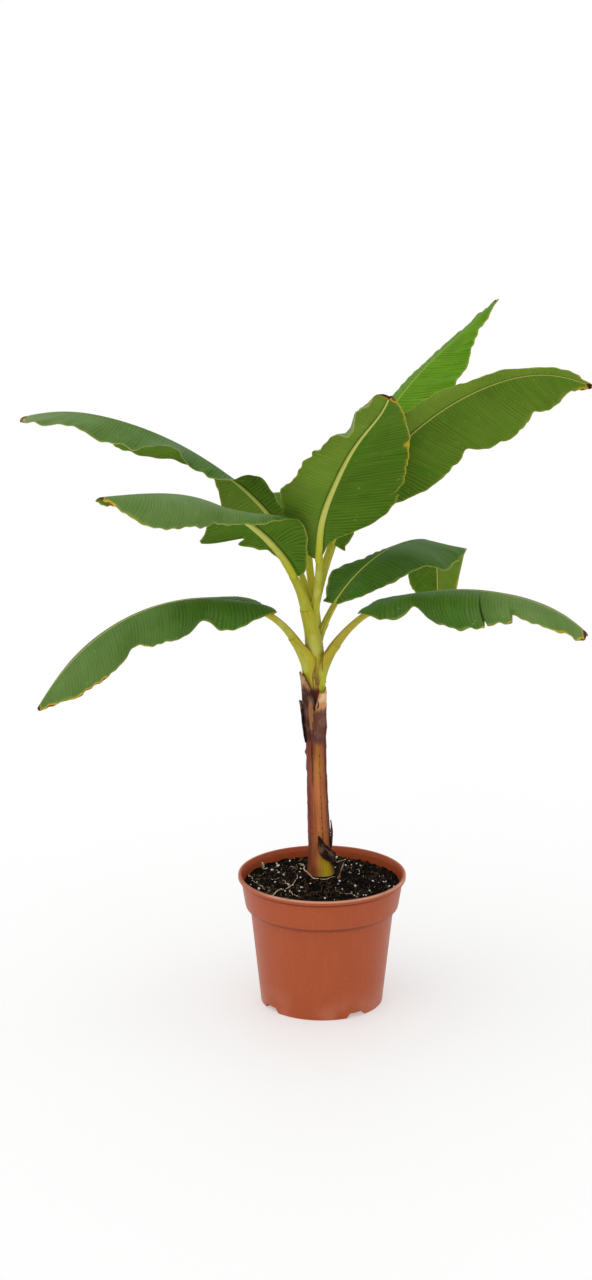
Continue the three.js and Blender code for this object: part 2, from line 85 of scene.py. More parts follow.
# Steps in which a stalk's course and a blade's curl are added up; powers of the blade's outline at
# its base and tip; how far the side veins lean forward, as a share of their length, at even steps;
# radius of the midrib at the tip; how far the stalk's centre lies under its course, as a share of
# its radius; length of a tear's sharp side, as a share of the blade; distance of the painted veins;
# the leaf that is youngest.
COURSE_STEPS = 160
CURL_STEPS = 60
ROUND_BASE = 0.42
ROUND_TIP = 0.5
SLANT = [-0.25, 0.25, 0.45, 0.9]
RIB_TIP = 1.3
RIB_DROP = 0.51
TEAR_EDGE = 0.0022
VEIN_PITCH = 4.8
YOUNGEST = "back_right"

# The picture's height and the lens's focal length in pixels, and where the camera stands and how
# far it looks down; the soft light's place and width; the floor's radius. Metres and degrees.
PICTURE_HEIGHT = 1280
FOCAL_LENGTH = 2963.0
CAMERA_SPOT = (-0.0372, -4.0, 1.636)
CAMERA_LEAN = 15.37
LAMP_SPOT = (-0.9, -0.9, 2.0)
LAMP_WIDTH = 70
FLOOR_RADIUS = 60

# Each leaf, from the outermost in. foot: the foot of its stalk; length: stalk and blade; petiole:
# the stalk's part of it; radius: the stalk's at the sheath and at the blade, and swell: reach and
# power of the change; shift: a move of the foot and the length over which it fades; bearing, climb
# and roll: at even steps; narrow: how much the midrib thins at once; blush and aged: brown tints.
# Each half blade has wide: its widest reach, and share: its part of that at even steps; root and
# edge: the angle above level next to the rib and at the margin, and curl: the power of the change;
# slant: the lean of its veins; wave: how wavy it is; tone: painted light, a paler sheen where above
# 0, and painted shade where below 0; bites and tears in the margin as place, depth and spread. Dry
# spots: half, place, spread along, spread in, amount.
LEAVES = {
    "lower_left": {
        "foot": [-9, 0, 463], "length": 540, "petiole": 150, "radius": [9.6, 5.8], "swell": [90, 4],
        "shift": [3, 8, -2.2, 110],
        "bearing": [-153, -154, -156, -154, -158, -157, -168],
        "climb": [80, 55, 21, 1, -21, -41, -58],
        "left": {
            "tone": [-0.2, -0.1, 0.1, 0.35, 0.4, 0.4, 0.35],
            "wide": 58.5, "root": [35, -5, -10, -10, -10], "edge": [-20, -110, -95, -80, -70],
            "share": [1.5, 1.35, 1.3, 1.1, 1.08, 1, 1.08, 1.1, 1.02, 0.72, 0.5], "wave": 0.5,
            "bites": [[0.26, 0.4, 0.035], [0.54, 0.2, 0.05]],
        },
        "right": {
            "tone": [0, 0.1, 0.2, 0.3, 0.3],
            "wide": 62, "root": [35, -5, -10, -10, -10], "edge": [-40, -110, -100, -80, -70],
            "share": [1.2, 1.2, 1, 1, 1, 1, 1, 1, 1, 0.8, 0.5], "bites": [[0.4, 0.15, 0.05]],
        },
        "dry": [[1, 0.76, 44, 2.4, 0.78], [1, 0.69, 9, 4.5, 0.72], [1, 0.79, 8, 5, 0.6],
                [1, 0.93, 18, 3, 0.78], [1, 0.5, 16, 2, 0.66], [1, 0.36, 9, 1.8, 0.66],
                [1, 0.05, 9, 2.5, 0.7], [-1, 0.6, 12, 3, 0.6]],
    },
    "lower_right": {
        "foot": [-1, 0, 464], "length": 487, "petiole": 140, "radius": [8.2, 5.6],
        "shift": [-7, 8, -2.2, 130], "swell": [100, 4], "blush": 0.7,
        "bearing": [-51, -18, -29, -28, -27, -25, -20], "climb": [84, 58, 29, 14, 2, -13, -36],
        "left": {
            "tone": [0.2, 0.35, 0.4, 0.6, 0.6],
            "wide": 60, "root": [30, 0, -5, -5, -5], "edge": [-20, -90, -80, -80, -70],
            "share": [1.5, 1.1, 1.25, 1, 1, 0.9, 0.8], "bites": [[0.6, 0.2, 0.05]],
        },
        "right": {
            "tone": [0.1, 0.1, 0, 0.2, 0.5, 0.5, 0.5],
            "wide": 62, "root": [30, 0, -5, -5, -5], "edge": [-20, -90, -90, -80, -70],
            "share": [1, 1.1, 1.1, 0.97, 1.15, 1.13, 0.9, 0.75, 0.72, 0.68, 0.85],
            "bites": [[0.25, 0.5, 0.045]], "wave": 0.5,
            "tears": [[0.545, 0.4, 0.0035], [0.665, 0.28, 0.05]],
        },
        "dry": [[-1, 0.86, 20, 3, 0.66], [-1, 0.97, 12, 4, 0.7], [-1, 0.655, 5, 3, 0.8],
                [-1, 0.535, 4, 3, 0.75]],
    },
    "middle_left": {
        "foot": [-8, -5, 477], "length": 559, "petiole": 170, "radius": [11.6, 6.4],
        "shift": [3, 22, -5, 140], "swell": [125, 5], "aged": 1,
        "bearing": [-101, -136, -139, -133, -137, -141, -145],
        "climb": [88, 75, 53, 37, 25, 8, 2],
        "left": {
            "tone": [-0.4, -0.1, 0.3, 0.4, 0.45, 0.4, 0.4], "wave": 0.7,
            "wide": 80, "root": [20, 50, 70, 60, 30, 0, -5, -5, -5, -5, -5],
            "edge": [10, 20, -5, -52, -92, -85, -80, -80, -80, -80, -60],
            "share": [0.6, 0.7, 0.88, 0.76, 0.68, 0.6, 0.87, 0.98, 0.96, 0.6, 0.3],
        },
        "right": {
            "wide": 80, "root": [-10, -20, -20, -20, -20], "edge": [-30, -50, -60, -60, -60],
            "share": [0.2, 0.17, 0.16, 0.27, 0.46, 1.04, 1.0, 0.7, 0.55, 0.54, *[0.55] * 10, 0.5],
            "bites": [[0.236, 0.55, 0.014]],
        },
        "dry": [[1, 0.95, 14, 5, 0.72], [1, 0.84, 10, 2, 0.55]],
    },
    "upper_left": {
        "foot": [-6, 10, 534], "length": 582, "petiole": 140, "radius": [6.5, 4.6],
        "shift": [4, 0, 0, 170],
        "bearing": [180, 163, 186, 190, 194, 190, 197], "climb": [81, 70, 52, 37, 26, 12, -10],
        "left": {
            "tone": [0, 0, 0.1, 0.15, 0.25, 0.4, 0.55],
            "wide": 75, "root": [60, 60, 60, 58, 52, 44, -4, -12, -15, -10, -5, -12, -20, -20, -20,
                                 -15, -10, -5, 0, 0, 0],
            "edge": [50, 52, 55, 55, 54, 46, -16, -30, -35, -15, 5, -15, -35, -38, -40, -28, -15,
                     -8, 0, 0, 0],
            "share": [0.5, 0.45, 0.42, 0.46, 0.5, 0.53, 0.46, 0.5, 0.62, 0.7, 0.72, 0.78, 0.82, 0.8,
                      0.8, 0.86, 0.95, 1.2, 1.4, 1.2, 0.9],
            "bites": [[0.285, -0.5, 0.008]],
        },
        "right": {
            "tone": [0.4, 0.4, 0.3, 0.2, 0.2],
            "wide": 75, "root": [-50, -40, -20, -20, -20], "edge": [-60, -60, -50, -60, -60],
            "share": [1.0, 1.1, 0.95, 0.4, 0.5, 1.18, 1.08, 0.75, 0.55, 0.6, 0.7],
        },
        "dry": [[1, 0.97, 14, 6, 0.9], [-1, 0.96, 10, 4, 0.8], [1, 0.285, 5, 3, 0.7]],
    },
    "front": {
        "foot": [-4, -10, 539], "length": 453, "petiole": 130, "radius": [6.6, 4.9],
        "shift": [-9, 16, -4.4, 150], "narrow": 0.08,
        "bearing": [-87, -92, -88, -59, -54, -51.5, -76], "climb": [72, 74, 70, 60, 54, 43, 42],
        "left": {
            "tone": [-0.2, -0.3, -0.4, -0.3, -0.1, 0.2],
            "wide": 88, "root": [-10, -10, -10, -5, 0], "edge": [-30, -35, -30, -20, -60],
            "share": [0.1, 0.32, 1.0, 1.13, 1.07, 0.97, 0.9, 0.73, 0.54, 0.37, 0.26],
            "slant": [0.1, 0.3, 0.45, 0.9], "tears": [[0.315, 0.14, 0.028]],
        },
        "right": {
            "tone": [0.25, 0.45, 0.5, 0.5, 0.5, 0.5], "wave": 2.6,
            "wide": 80, "root": [35, 32, 22, 10, 5], "edge": [35, 15, -30, -70, -80], "curl": 3,
            "share": [0.75, 0.86, 0.84, 0.85, 0.76, 0.81, 0.77, 0.74, 0.88, 1.0, 1.1],
            "bites": [[0.5, 0.14, 0.022], [0.62, 0.05, 0.02]],
        },
        "dry": [[1, 0.575, 14, 15, 0.5], [1, 0.5, 60, 2.2, 0.64], [1, 0.8, 34, 1.8, 0.66],
                [-1, 0.97, 12, 4, 0.8], [1, 0.97, 16, 6, 0.8]],
    },
    "right_upper": {
        "foot": [-1, 8, 536], "length": 623, "petiole": 148, "radius": [6, 4],
        "shift": [-17, 2, 0, 330],
        "bearing": [-50, -42, -29, -25, -22, -19, -15], "climb": [85, 75, 62, 46.5, 34, 15, -21],
        "roll": [0, -10, -30, -45, -50, -50, -50],
        "left": {
            "tone": [0, 0.25, 0.35, 0.3],
            "wide": 100, "root": [0, -10, -20, -20, -10], "edge": [-30, -40, -40, -40, -30],
            "slant": [-0.7, 0.25, 0.45, 0.9],
            "share": [0.66, 0.42, 0.64, 0.8, 0.74, 0.8, 0.84, 0.74, 0.66, 0.4, 0.25],
            "bites": [[0.012, -0.4, 0.008], [0.46, 0.16, 0.03], [0.73, 0.1, 0.03]], "wave": 0.6,
        },
        "right": {
            "tone": [0.5, 0.6, 0.6, 0.5],
            "wide": 90, "root": [0, -10, -20, -20, -10], "edge": [-40, -40, -50, -50, -40],
            "share": [0.5, 0.65, 0.72, 0.75, 0.78, 0.84, 0.78, 0.71, 0.68, 0.58, 0.4],
        },
        "dry": [[1, 0.96, 12, 4, 0.66], [-1, 0.93, 16, 3, 0.62]],
    },
    "back_right": {
        "foot": [-6, 20, 560], "length": 530, "petiole": 160, "radius": [6, 4],
        "shift": [-10, -8, 0, 200],
        "bearing": [48, 29, 32, 28, 25, 21, 23], "climb": [76, 73, 67, 60, 46, 38, 41],
        "left": {
            "wide": 66, "root": [-14, -14, -14, -14, -14], "edge": [-20, -20, -20, -20, -20],
            "share": [1, 0.95, 0.76, 0.62, 0.7, 0.5], "wave": 0.5,
        },
        "right": {
            "wide": 80, "root": [10, 0, 0, 0, 20], "edge": [-10, -10, -10, -10, 10],
            "share": [1.2, 1.2, 1.2, 1.2, 1.2, 1.2, 1.05, 0.78, 0.55, 0.45, 0.5],
        },
        "dry": [[1, 0.98, 8, 3, 0.7]],
    },
    "middle_right": {
        "foot": [-1, 0, 525], "length": 420, "petiole": 68, "radius": [5.5, 3.6],
        "shift": [-9, 0, 0, 190],
        "bearing": [29, 47, 49, 50, 57, 77, 79], "climb": [76, 47, 25, 6, -15, -62, -80],
        "left": {
            "wide": 56, "root": [10, 0, -30, -20, -5], "edge": [30, -20, -50, -60, -50],
            "share": [0.55, 0.72, 0.86, 0.48, 0.32, 0.36, 0.5, 0.7, 0.95, 1.05, 1.05, 0.9, 0.8],
            "slant": [-0.6, 0.3, 0.45, 0.9], "bites": [[0.016, -0.5, 0.011]], "wave": 0.5,
        },
        "right": {
            "wide": 64, "root": [0, -10, 10, -5, -5, -5, -5],
            "edge": [-40, -40, -42, -52, -66, -52, -15, 16, -5, -16, -30],
            "tone": [0, 0, 0, 0.4, 0.6],
            "share": [0.45, 0.75, 0.92, 1.05, 1.3, 1.1, 0.98, 0.77, 0.7, 0.74, 0.8], "wave": 0.6,
        },
        "dry": [[1, 0.9, 14, 4, 0.7], [-1, 0.85, 14, 3, 0.6]],
    },
    "back": {
        "foot": [-6, 18, 540], "length": 440, "petiole": 125, "radius": [6.5, 5.2],
        "shift": [2, -6, 0, 150],
        "bearing": [125, 108, 88, 78, 74, 72, 70], "climb": [78, 66, 48, 30, 12, -8, -28],
        "left": {
            "wide": 62, "root": [30, 15, 0, -5, -5], "edge": [20, 0, -30, -40, -40],
            "share": [1, 1.25, 1.25, 0.62, 0.5, 0.55, 0.6, 0.7, 0.8, 0.8, 0.8],
        },
        "right": {
            "wide": 62, "root": [30, 15, 0, -5, -5], "edge": [20, 0, -30, -40, -40],
            "share": [1, 0.95, 1, 1, 0.9, 0.8], "bites": [[0.35, 0.12, 0.04]],
        },
        "dry": [[1, 0.95, 16, 5, 0.75], [-1, 0.8, 12, 3, 0.7]],
    },
}

# Green sheaths that the stalks open from, outermost first: lowest height, height where the stalk
# leaves the sheath, how far round the stem each margin lies, before and after the stalk in turn,
# at even heights, how far the sheath stands off half way up, and the height above its foot up to
# which it is dry and over which that fades.
CLASPS = {
    "lower_left": [461, 548, [150, 150, 145, 130, 105, 84],
                   [53, 54, 58, 67, 92, 124, 124, 112, 98], 4, 0, 14],
    "lower_right": [468, 536, [4, 6, 9, 16, 34, 62, 96, 108, 98],
                    [150, 150, 145, 130, 100, 80], 3, 0, 14],
    "middle_left": [464, 590, [150, 140, 120, 100, 84], [150, 130, 112, 100, 84], 1.2, 26, 26],
    "middle_right": [500, 560, [130, 120, 90, 80, 76], [130, 120, 90, 80, 76], 0, 0, 14],
    "upper_left": [500, 596, [140, 130, 110, 90, 84], [140, 130, 110, 90, 84], 0, 0, 14],
}

# Dry remains of old sheaths on the stem, from base to tip: turn of the middle, height, half the
# turn that is covered, distance from the stem, how far the margins roll out, its finish, how torn
# the tip is and the tip's height at even steps across, and a stripe or scar as share across, share
# up, both spreads and amount. One with a girth is a scroll of that radius beside the stem. One that
# is spare stands for no solid.
FLAPS = {
    "dry_sheath_left": {
        "turn": [218, 218, 217, 210, 199], "height": [390, 422, 450, 473, 490],
        "half": [50, 49, 48, 38, 21], "stand": [-1.6, 0.9, 1.8, 3.2, 5.6], "roll": 0.6,
        "tone": "red", "torn": 1.0, "crest": [-4, -1, 0, -1, -3],
        "stripe": [0.62, 0.3, 0.3, 0.26, 1.0],
    },
    "dry_sheath_curl": {
        "turn": [196, 197, 198, 198, 198], "height": [384, 400, 416, 432, 447],
        "girth": [1.2, 1.9, 2.3, 2.6, 3.2], "stand": [-0.6, 0.8, 1.8, 2.6, 4.0], "roll": 0.6,
        "tone": "dark",
    },
    "dry_sheath_right": {
        "turn": [-70, -70, -70, -63, -56], "height": [386, 404, 422, 441, 461],
        "half": [31, 34, 35, 31, 24], "stand": [-2.2, 0.5, 1.1, 1.9, 3.6], "roll": 0.4,
        "tone": "tan", "torn": 0.8, "crest": [-12, -1, 4, 0, 3, -1, 4, 8, 1],
        "stripe": [-0.5, 0.76, 0.2, 0.07, 1.0],
    },
    "dry_sheath_foot": {
        "turn": [-12, -22, -46, -74, -93], "height": [200, 207, 215, 228, 246],
        "half": [14, 28, 35, 23, 3], "stand": [0.5, 2.0, 3.2, 3.0, 2.0], "roll": 1.8,
        "tone": "dark", "torn": 2.5, "crest": [0, 0], "stripe": [0.3, 0.62, 0.2, 0.2, 0.9],
    },
    "dry_sheath_edge": {
        "turn": [-14, -12, -10, -8, -6], "height": [226, 238, 248, 256, 264],
        "half": [14, 19, 18, 13, 6], "stand": [-1.2, 0.3, 1.0, 0.5, -0.3], "roll": 0.3,
        "tone": "dark", "torn": 1.4, "crest": [0, 0], "stripe": [0.1, 0.4, 0.2, 0.2, 0.5],
        "spare": True,
    },
}

# Roots that lie on the soil: points in plan, thickness, and rise above the soil at mid length.
ROOTS = [
    [[[-71, -58], [-60, -34], [-44, -26], [-37, 0], [-33, 22]], 1.0, 4],
    [[[-46, -26], [-52, -8], [-62, 6]], 0.6, 2],
    [[[-38, 70], [-28, 66], [-26, 44], [-22, 18], [-14, -4], [4, -6], [20, 2]], 1.2, 5],
    [[[-106, 31], [-98, 3], [-84, -26], [-71, -51]], 0.8, 2],
    [[[-100, 38], [-86, 22], [-64, 10], [-50, 24]], 0.5, 2],
    [[[-85, 61], [-86, 56], [-82, 46]], 0.9, 22],
    [[[-52, 64], [-40, 52], [-28, 42]], 0.8, 3],
    [[[-46, -34], [-40, -56], [-30, -60]], 0.8, 3],
    [[[30, 58], [44, 50], [58, 36], [60, 20]], 0.6, 2],
    [[[-96, -6], [-80, -24], [-70, -14]], 0.5, 2],
    [[[14, -30], [26, -46], [44, -52], [52, -70]], 0.5, 1],
    [[[40, 96], [20, 82], [8, 88], [-14, 76]], 0.7, 2],
    [[[-74, 54], [-60, 66], [-52, 86]], 0.6, 2],
]


def place(name, value, note, unit="LENGTH"):
    """A length or plain number property with its description."""
    return FloatProperty(name=name, default=value, description=note, unit=unit, min=0.0)


def tint(name, value, note):
    """A colour property; value is written as on a screen and kept as linear light."""
    return FloatVectorProperty(
        name=name, default=linear(value)[:3], description=note, subtype="COLOR", size=3,
        min=0.0, max=1.0)


def linear(code):
    """The linear colour of a hexadecimal screen colour."""
    parts = [(code >> shift & 255) / 255 for shift in (16, 8, 0)]
    light = [p / 12.92 if p <= 0.04045 else ((p + 0.055) / 1.055) ** 2.4 for p in parts]
    return (*light, 1.0)


def solid(colour, share=1.0, extra=0.0):
    """A colour with its alpha: each part times share, or its own share of three, plus extra."""
    parts = np.minimum(1.0, np.array(tuple(colour)) * share + extra)
    return (*parts.tolist(), 1.0)


class PotSizes(bpy.types.PropertyGroup):
    """Sizes and colour of the pot"""
    rim: place("Rim radius", 0.120, "Radius of the rolled rim")
    height: place("Height", 0.191, "Height of the pot")
    band_top: place("Band top radius", 0.1155, "Radius of the band just below the rim")
    band_low: place("Band low radius", 0.110, "Radius of the band at its lower end")
    band_z: place("Band low height", 0.147, "Height of the band's lower end")
    ledge: place("Ledge radius", 0.1025, "Radius of the wall under the band")
    foot: place("Foot radius", 0.0875, "Radius at the foot")
    wall: place("Wall", 0.0024, "Thickness of the wall")
    colour: tint("Plastic", 0xB04F24, "Terracotta plastic of the pot")


class SoilSizes(bpy.types.PropertyGroup):
    """The soil and the loose bits on it"""
    level: place("Level", 0.176, "Height of the soil at the wall")
    crumbs: place("Crumbs per area", 95000.0, "Crumbs on each square metre", "NONE")
    crumb_size: place("Crumb size", 0.0016, "Middle radius of a crumb")
    grains: place("White grains per area", 3200.0, "White grains on each square metre", "NONE")
    grain_size: place("White grain size", 0.0014, "Middle radius of a white grain")
    seed: IntProperty(name="Seed", default=7, description="Seed of everything that is scattered")


class StemSizes(bpy.types.PropertyGroup):
    """Relief and colours of the stem"""
    relief: place("Relief", 0.00035, "Depth of the fibres on the stem")
    step: place("Sheath step", 0.0011, "Height of an old sheath's edge on the stem")
    skin: place("Sheath thickness", 0.0007, "Thickness of a dry sheath")
    maroon: tint("Maroon", 0x6B2A22, "Shaded red side of the stem")
    tan: tint("Tan", 0xD07E46, "Tan face of the stem")


class LeafSizes(bpy.types.PropertyGroup):
    """Stalks and blades"""
    thick: place("Thickness", 0.0008, "Thickness of the blade")
    rings: IntProperty(name="Rings", default=350, description="Rings along a blade", min=40)
    pleat: place("Pleat depth", 0.00022, "Depth of the pleats between side veins")
    pitch: place("Pleat pitch", 0.0050, "Distance between side veins")
    wave: place("Wave height", 0.0022, "Height of the waves in the margin")
    upper: tint("Upper face", 0x416813, "Upper face of a grown leaf")
    under: tint("Under face", 0x53751B, "Under face of a grown leaf")
    young: tint("Young leaf", 0x5B890A, "Both faces of the youngest leaf")
    rib: tint("Midrib", 0xC6C866, "Midrib")
    stalk: tint("Stalk", 0xBEBD2F, "Leaf stalk and green sheath")


class StageSizes(bpy.types.PropertyGroup):
    """Floor and light"""
    sun: place("Soft light", 0.62, "Strength of the soft light from above and in front", "NONE")
    low: place("Surround below", 0.46, "Brightness of the surround at the horizon", "NONE")
    high: place("Surround above", 1.08, "Brightness of the surround overhead", "NONE")
    floor: tint("Floor", 0xCBCBCB, "Pale floor, beside its own faint glow")
    glow: place("Floor glow", 0.38, "Light the floor gives off, so that shadows stay soft", "NONE")


class PlantSizes(bpy.types.PropertyGroup):
    """All sizes of the potted plant"""
    pot: PointerProperty(name="Pot", description="Sizes of the pot", type=PotSizes)
    soil: PointerProperty(name="Soil", description="The soil and its loose bits", type=SoilSizes)
    stem: PointerProperty(name="Stem", description="Sizes of the stem", type=StemSizes)
    leaf: PointerProperty(name="Leaves", description="Stalks and blades", type=LeafSizes)
    stage: PointerProperty(name="Stage", description="Floor and light", type=StageSizes)


class Value:
    """A socket in a sum: each operator adds the Math node for it."""

    def __init__(self, board, socket):
        self.board = board
        self.socket = socket

    def __add__(self, other):
        return self.board.sum("ADD", self, other)

    def __sub__(self, other):
        return self.board.sum("SUBTRACT", self, other)

    def __mul__(self, other):
        return self.board.sum("MULTIPLY", self, other)

    def __truediv__(self, other):
        return self.board.sum("DIVIDE", self, other)

    def __rsub__(self, other):
        return self.board.sum("SUBTRACT", other, self)

    def __rtruediv__(self, other):
        return self.board.sum("DIVIDE", other, self)

    __radd__ = __add__
    __rmul__ = __mul__


class Board:
    """A node tree and the ways that nodes are added to it."""

    def __init__(self, tree):
        self.tree = tree

    def node(self, kind, settings=None, sockets=None):
        """Adds one node: its settings first, then the values or links of its sockets."""
        made = self.tree.nodes.new(kind)
        for name, value in (settings or {}).items():
            setattr(made, name, value)
        for key, value in (sockets or {}).items():
            self.feed(made.inputs[key], value)
        return made

    def feed(self, socket, value):
        """Links a socket, or sets its own value."""
        if isinstance(value, Value):
            value = value.socket
        if isinstance(value, bpy.types.NodeSocket):
            self.tree.links.new(value, socket)
        else:
            socket.default_value = value

    def get(self, made, key=0):
        """An output of a node, ready for sums."""
        return Value(self, made.outputs[key])

    def sum(self, operation, *values, clamp=False):
        """A Math node."""
        settings = {"operation": operation, "use_clamp": clamp}
        return self.get(self.node("ShaderNodeMath", settings, dict(enumerate(values))))

    def vector(self, operation, *values):
        """A Vector Math node; scale takes its number from the fourth socket."""
        keys = {0: values[0], 3: values[1]} if operation == "SCALE" else dict(enumerate(values))
        made = self.node("ShaderNodeVectorMath", {"operation": operation}, keys)
        return self.get(made, "Value" if operation in ("DOT_PRODUCT", "LENGTH") else "Vector")

    def join(self, x, y, z):
        """Three numbers as a vector."""
        return self.get(self.node("ShaderNodeCombineXYZ", None, {0: x, 1: y, 2: z}))

    def rise(self, value, low, high):
        """0 below low and 1 above high, smooth between; falls where low is above high."""
        settings = {"interpolation_type": "SMOOTHSTEP", "clamp": True}
        flip = low > high
        ends = {"From Min": min(low, high), "From Max": max(low, high),
                "To Min": 1.0 if flip else 0.0, "To Max": 0.0 if flip else 1.0}
        return self.get(self.node("ShaderNodeMapRange", settings, {"Value": value, **ends}))

    def blend(self, factor, a, b):
        """Mixes two colours."""
        made = self.node("ShaderNodeMix", {"data_type": "RGBA"}, {0: factor, 6: a, 7: b})
        return self.get(made, 2)

    def noise(self, vector, scale, detail=2.0, rough=0.5):
        """The noise number at a place."""
        sockets = {"Vector": vector, "Scale": scale, "Detail": detail, "Roughness": rough}
        return self.get(self.node("ShaderNodeTexNoise", None, sockets), "Fac")

    def mark(self, name):
        """A number kept on the mesh."""
        return self.get(self.node("ShaderNodeAttribute", {"attribute_name": name}), "Fac")

    def here(self):
        """Object coordinates."""
        return self.get(self.node("ShaderNodeTexCoord"), "Object")


def finish_of(name, paint, rough=0.5, **fixed):
    """A material whose colour, roughness and relief paint(board) works out as Values or numbers."""
    material = bpy.data.materials.new(name)
    material.use_nodes = True
    material.node_tree.nodes.clear()
    board = Board(material.node_tree)
    shader = board.node("ShaderNodeBsdfPrincipled", None, fixed)
    board.node("ShaderNodeOutputMaterial", None, {"Surface": shader.outputs[0]})
    found = paint(board)
    board.feed(shader.inputs["Base Color"], found["colour"])
    board.feed(shader.inputs["Roughness"], found.get("rough", rough))
    if "relief" in found:
        sockets = {"Strength": found.get("strength", 1.0), "Distance": found["depth"],
                   "Height": found["relief"]}
        made = board.node("ShaderNodeBump", None, sockets)
        board.feed(shader.inputs["Normal"], made.outputs[0])
    return material


def smooth_list(values, at):
    """A smooth curve through values at even steps, read at shares from 0 to 1."""
    values = np.asarray(values, float)
    last = len(values) - 1
    x = np.clip(np.asarray(at, float), 0, 1) * last
    i = np.minimum(x.astype(int), last - 1)
    f = x - i
    a, b, c, d = (values[np.clip(i + k, 0, last)] for k in (-1, 0, 1, 2))
    square = (2 * a - 5 * b + 4 * c - d) * f * f
    cube = (3 * b - a - 3 * c + d) * f ** 3
    return 0.5 * (2 * b + (c - a) * f + square + cube)


def mix(a, b, f):
    """From a to b by the share f."""
    return a + (b - a) * f


def ease(value, low, high):
    """0 below low and 1 above high, smooth between."""
    f = np.clip((value - low) / (high - low), 0, 1)
    return f * f * (3 - 2 * f)


def unit(vectors):
    """The vectors at length one."""
    return vectors / np.maximum(np.linalg.norm(vectors, axis=-1, keepdims=True), 1e-12)


def spoke(turn):
    """Level directions at turns about the upright axis."""
    return np.stack([np.cos(turn), np.sin(turn), 0 * turn], -1)


def ripple(x, pitch, seed, y=0.0):
    """Smooth uneven waves of about one pitch, between about -1 and 1."""
    dice = np.random.default_rng(seed)
    total = 0.0
    for _ in range(5):
        turn = dice.uniform(0.6, 1.6) * 2 * math.pi / pitch
        total = total + np.sin(x * turn + y * dice.uniform(-3, 3) + dice.uniform(0, 6.28))
    return total / 2.6


def course_of(leaf):
    """The line that a stalk and its midrib follow, with its side and up directions."""
    u = np.linspace(0, 1, COURSE_STEPS + 1)
    climb = np.radians(smooth_list(leaf["climb"], u))
    bearing = np.radians(smooth_list(leaf["bearing"], u))
    roll = np.radians(smooth_list(leaf.get("roll", [0, 0]), u))[:, None]
    flat = np.cos(climb)
    ahead = np.stack([flat * np.cos(bearing), flat * np.sin(bearing), np.sin(climb)], -1)
    level = np.stack([-np.sin(bearing), np.cos(bearing), 0 * u], -1)
    side = level * np.cos(roll) + np.cross(ahead, level) * np.sin(roll)
    step = leaf["length"] * MM / COURSE_STEPS
    moved = np.cumsum((ahead[1:] + ahead[:-1]) * step / 2, axis=0)
    point = np.array(leaf["foot"]) * MM + np.vstack([np.zeros(3), moved])
    fade = 1 - ease(u * leaf["length"], 0, leaf["shift"][3])[:, None]
    point = point + fade * np.array(leaf["shift"][:3]) * MM
    ahead = unit(np.gradient(point, axis=0))
    return {"point": point, "ahead": ahead, "side": side, "up": unit(np.cross(ahead, side))}


def stalk_radius(leaf, along):
    """Radius of a stalk at distances from its foot, in metres, and how much of it is sheath."""
    reach, power = leaf.get("swell", [70, 2])
    swell = np.exp(-((np.maximum(along, 0) / reach) ** power))
    return mix(leaf["radius"][1], leaf["radius"][0], swell) * MM, swell


def course_at(course, u):
    """The course read at shares of its length."""
    x = np.clip(u, 0, 1) * COURSE_STEPS
    i = np.minimum(x.astype(int), COURSE_STEPS - 1)
    f = (x - i)[:, None]
    return {key: mix(line[i], line[i + 1], f) for key, line in course.items()}


def outline(s):
    """Width of a blade at shares of its length, 1 where it is widest."""
    total = ROUND_BASE + ROUND_TIP
    peak = (ROUND_BASE / total) ** ROUND_BASE * (ROUND_TIP / total) ** ROUND_TIP
    return s ** ROUND_BASE * (1 - s) ** ROUND_TIP / peak


def reach_of(leaf, half, s):
    """Width of a half blade: the outline with its bites, and tears that are sharp on one side."""
    wide = half["wide"] * MM * outline(s) * smooth_list(half["share"], s)
    for at, depth, spread in half.get("bites", []):
        wide = wide * (1 - depth * np.exp(-(((s - at) / spread) ** 2)))
    for at, depth, spread in half.get("tears", []):
        behind = np.where(s < at, np.exp(-((s - at) / TEAR_EDGE) ** 2), np.exp(-(s - at) / spread))
        wide = wide * (1 - depth * behind)
    smallest = mix(leaf["radius"][1] * MM, 0.0006, np.clip(s * 8, 0, 1))
    return np.maximum(wide, smallest)


def rib_radius(leaf, s):
    """Radius of the midrib: the stalk's at the blade's base, then soon narrower."""
    thin = 1 - leaf.get("narrow", 0.34) * ease(s, 0, 0.16)
    return mix(leaf["radius"][1], RIB_TIP, s) * thin * MM


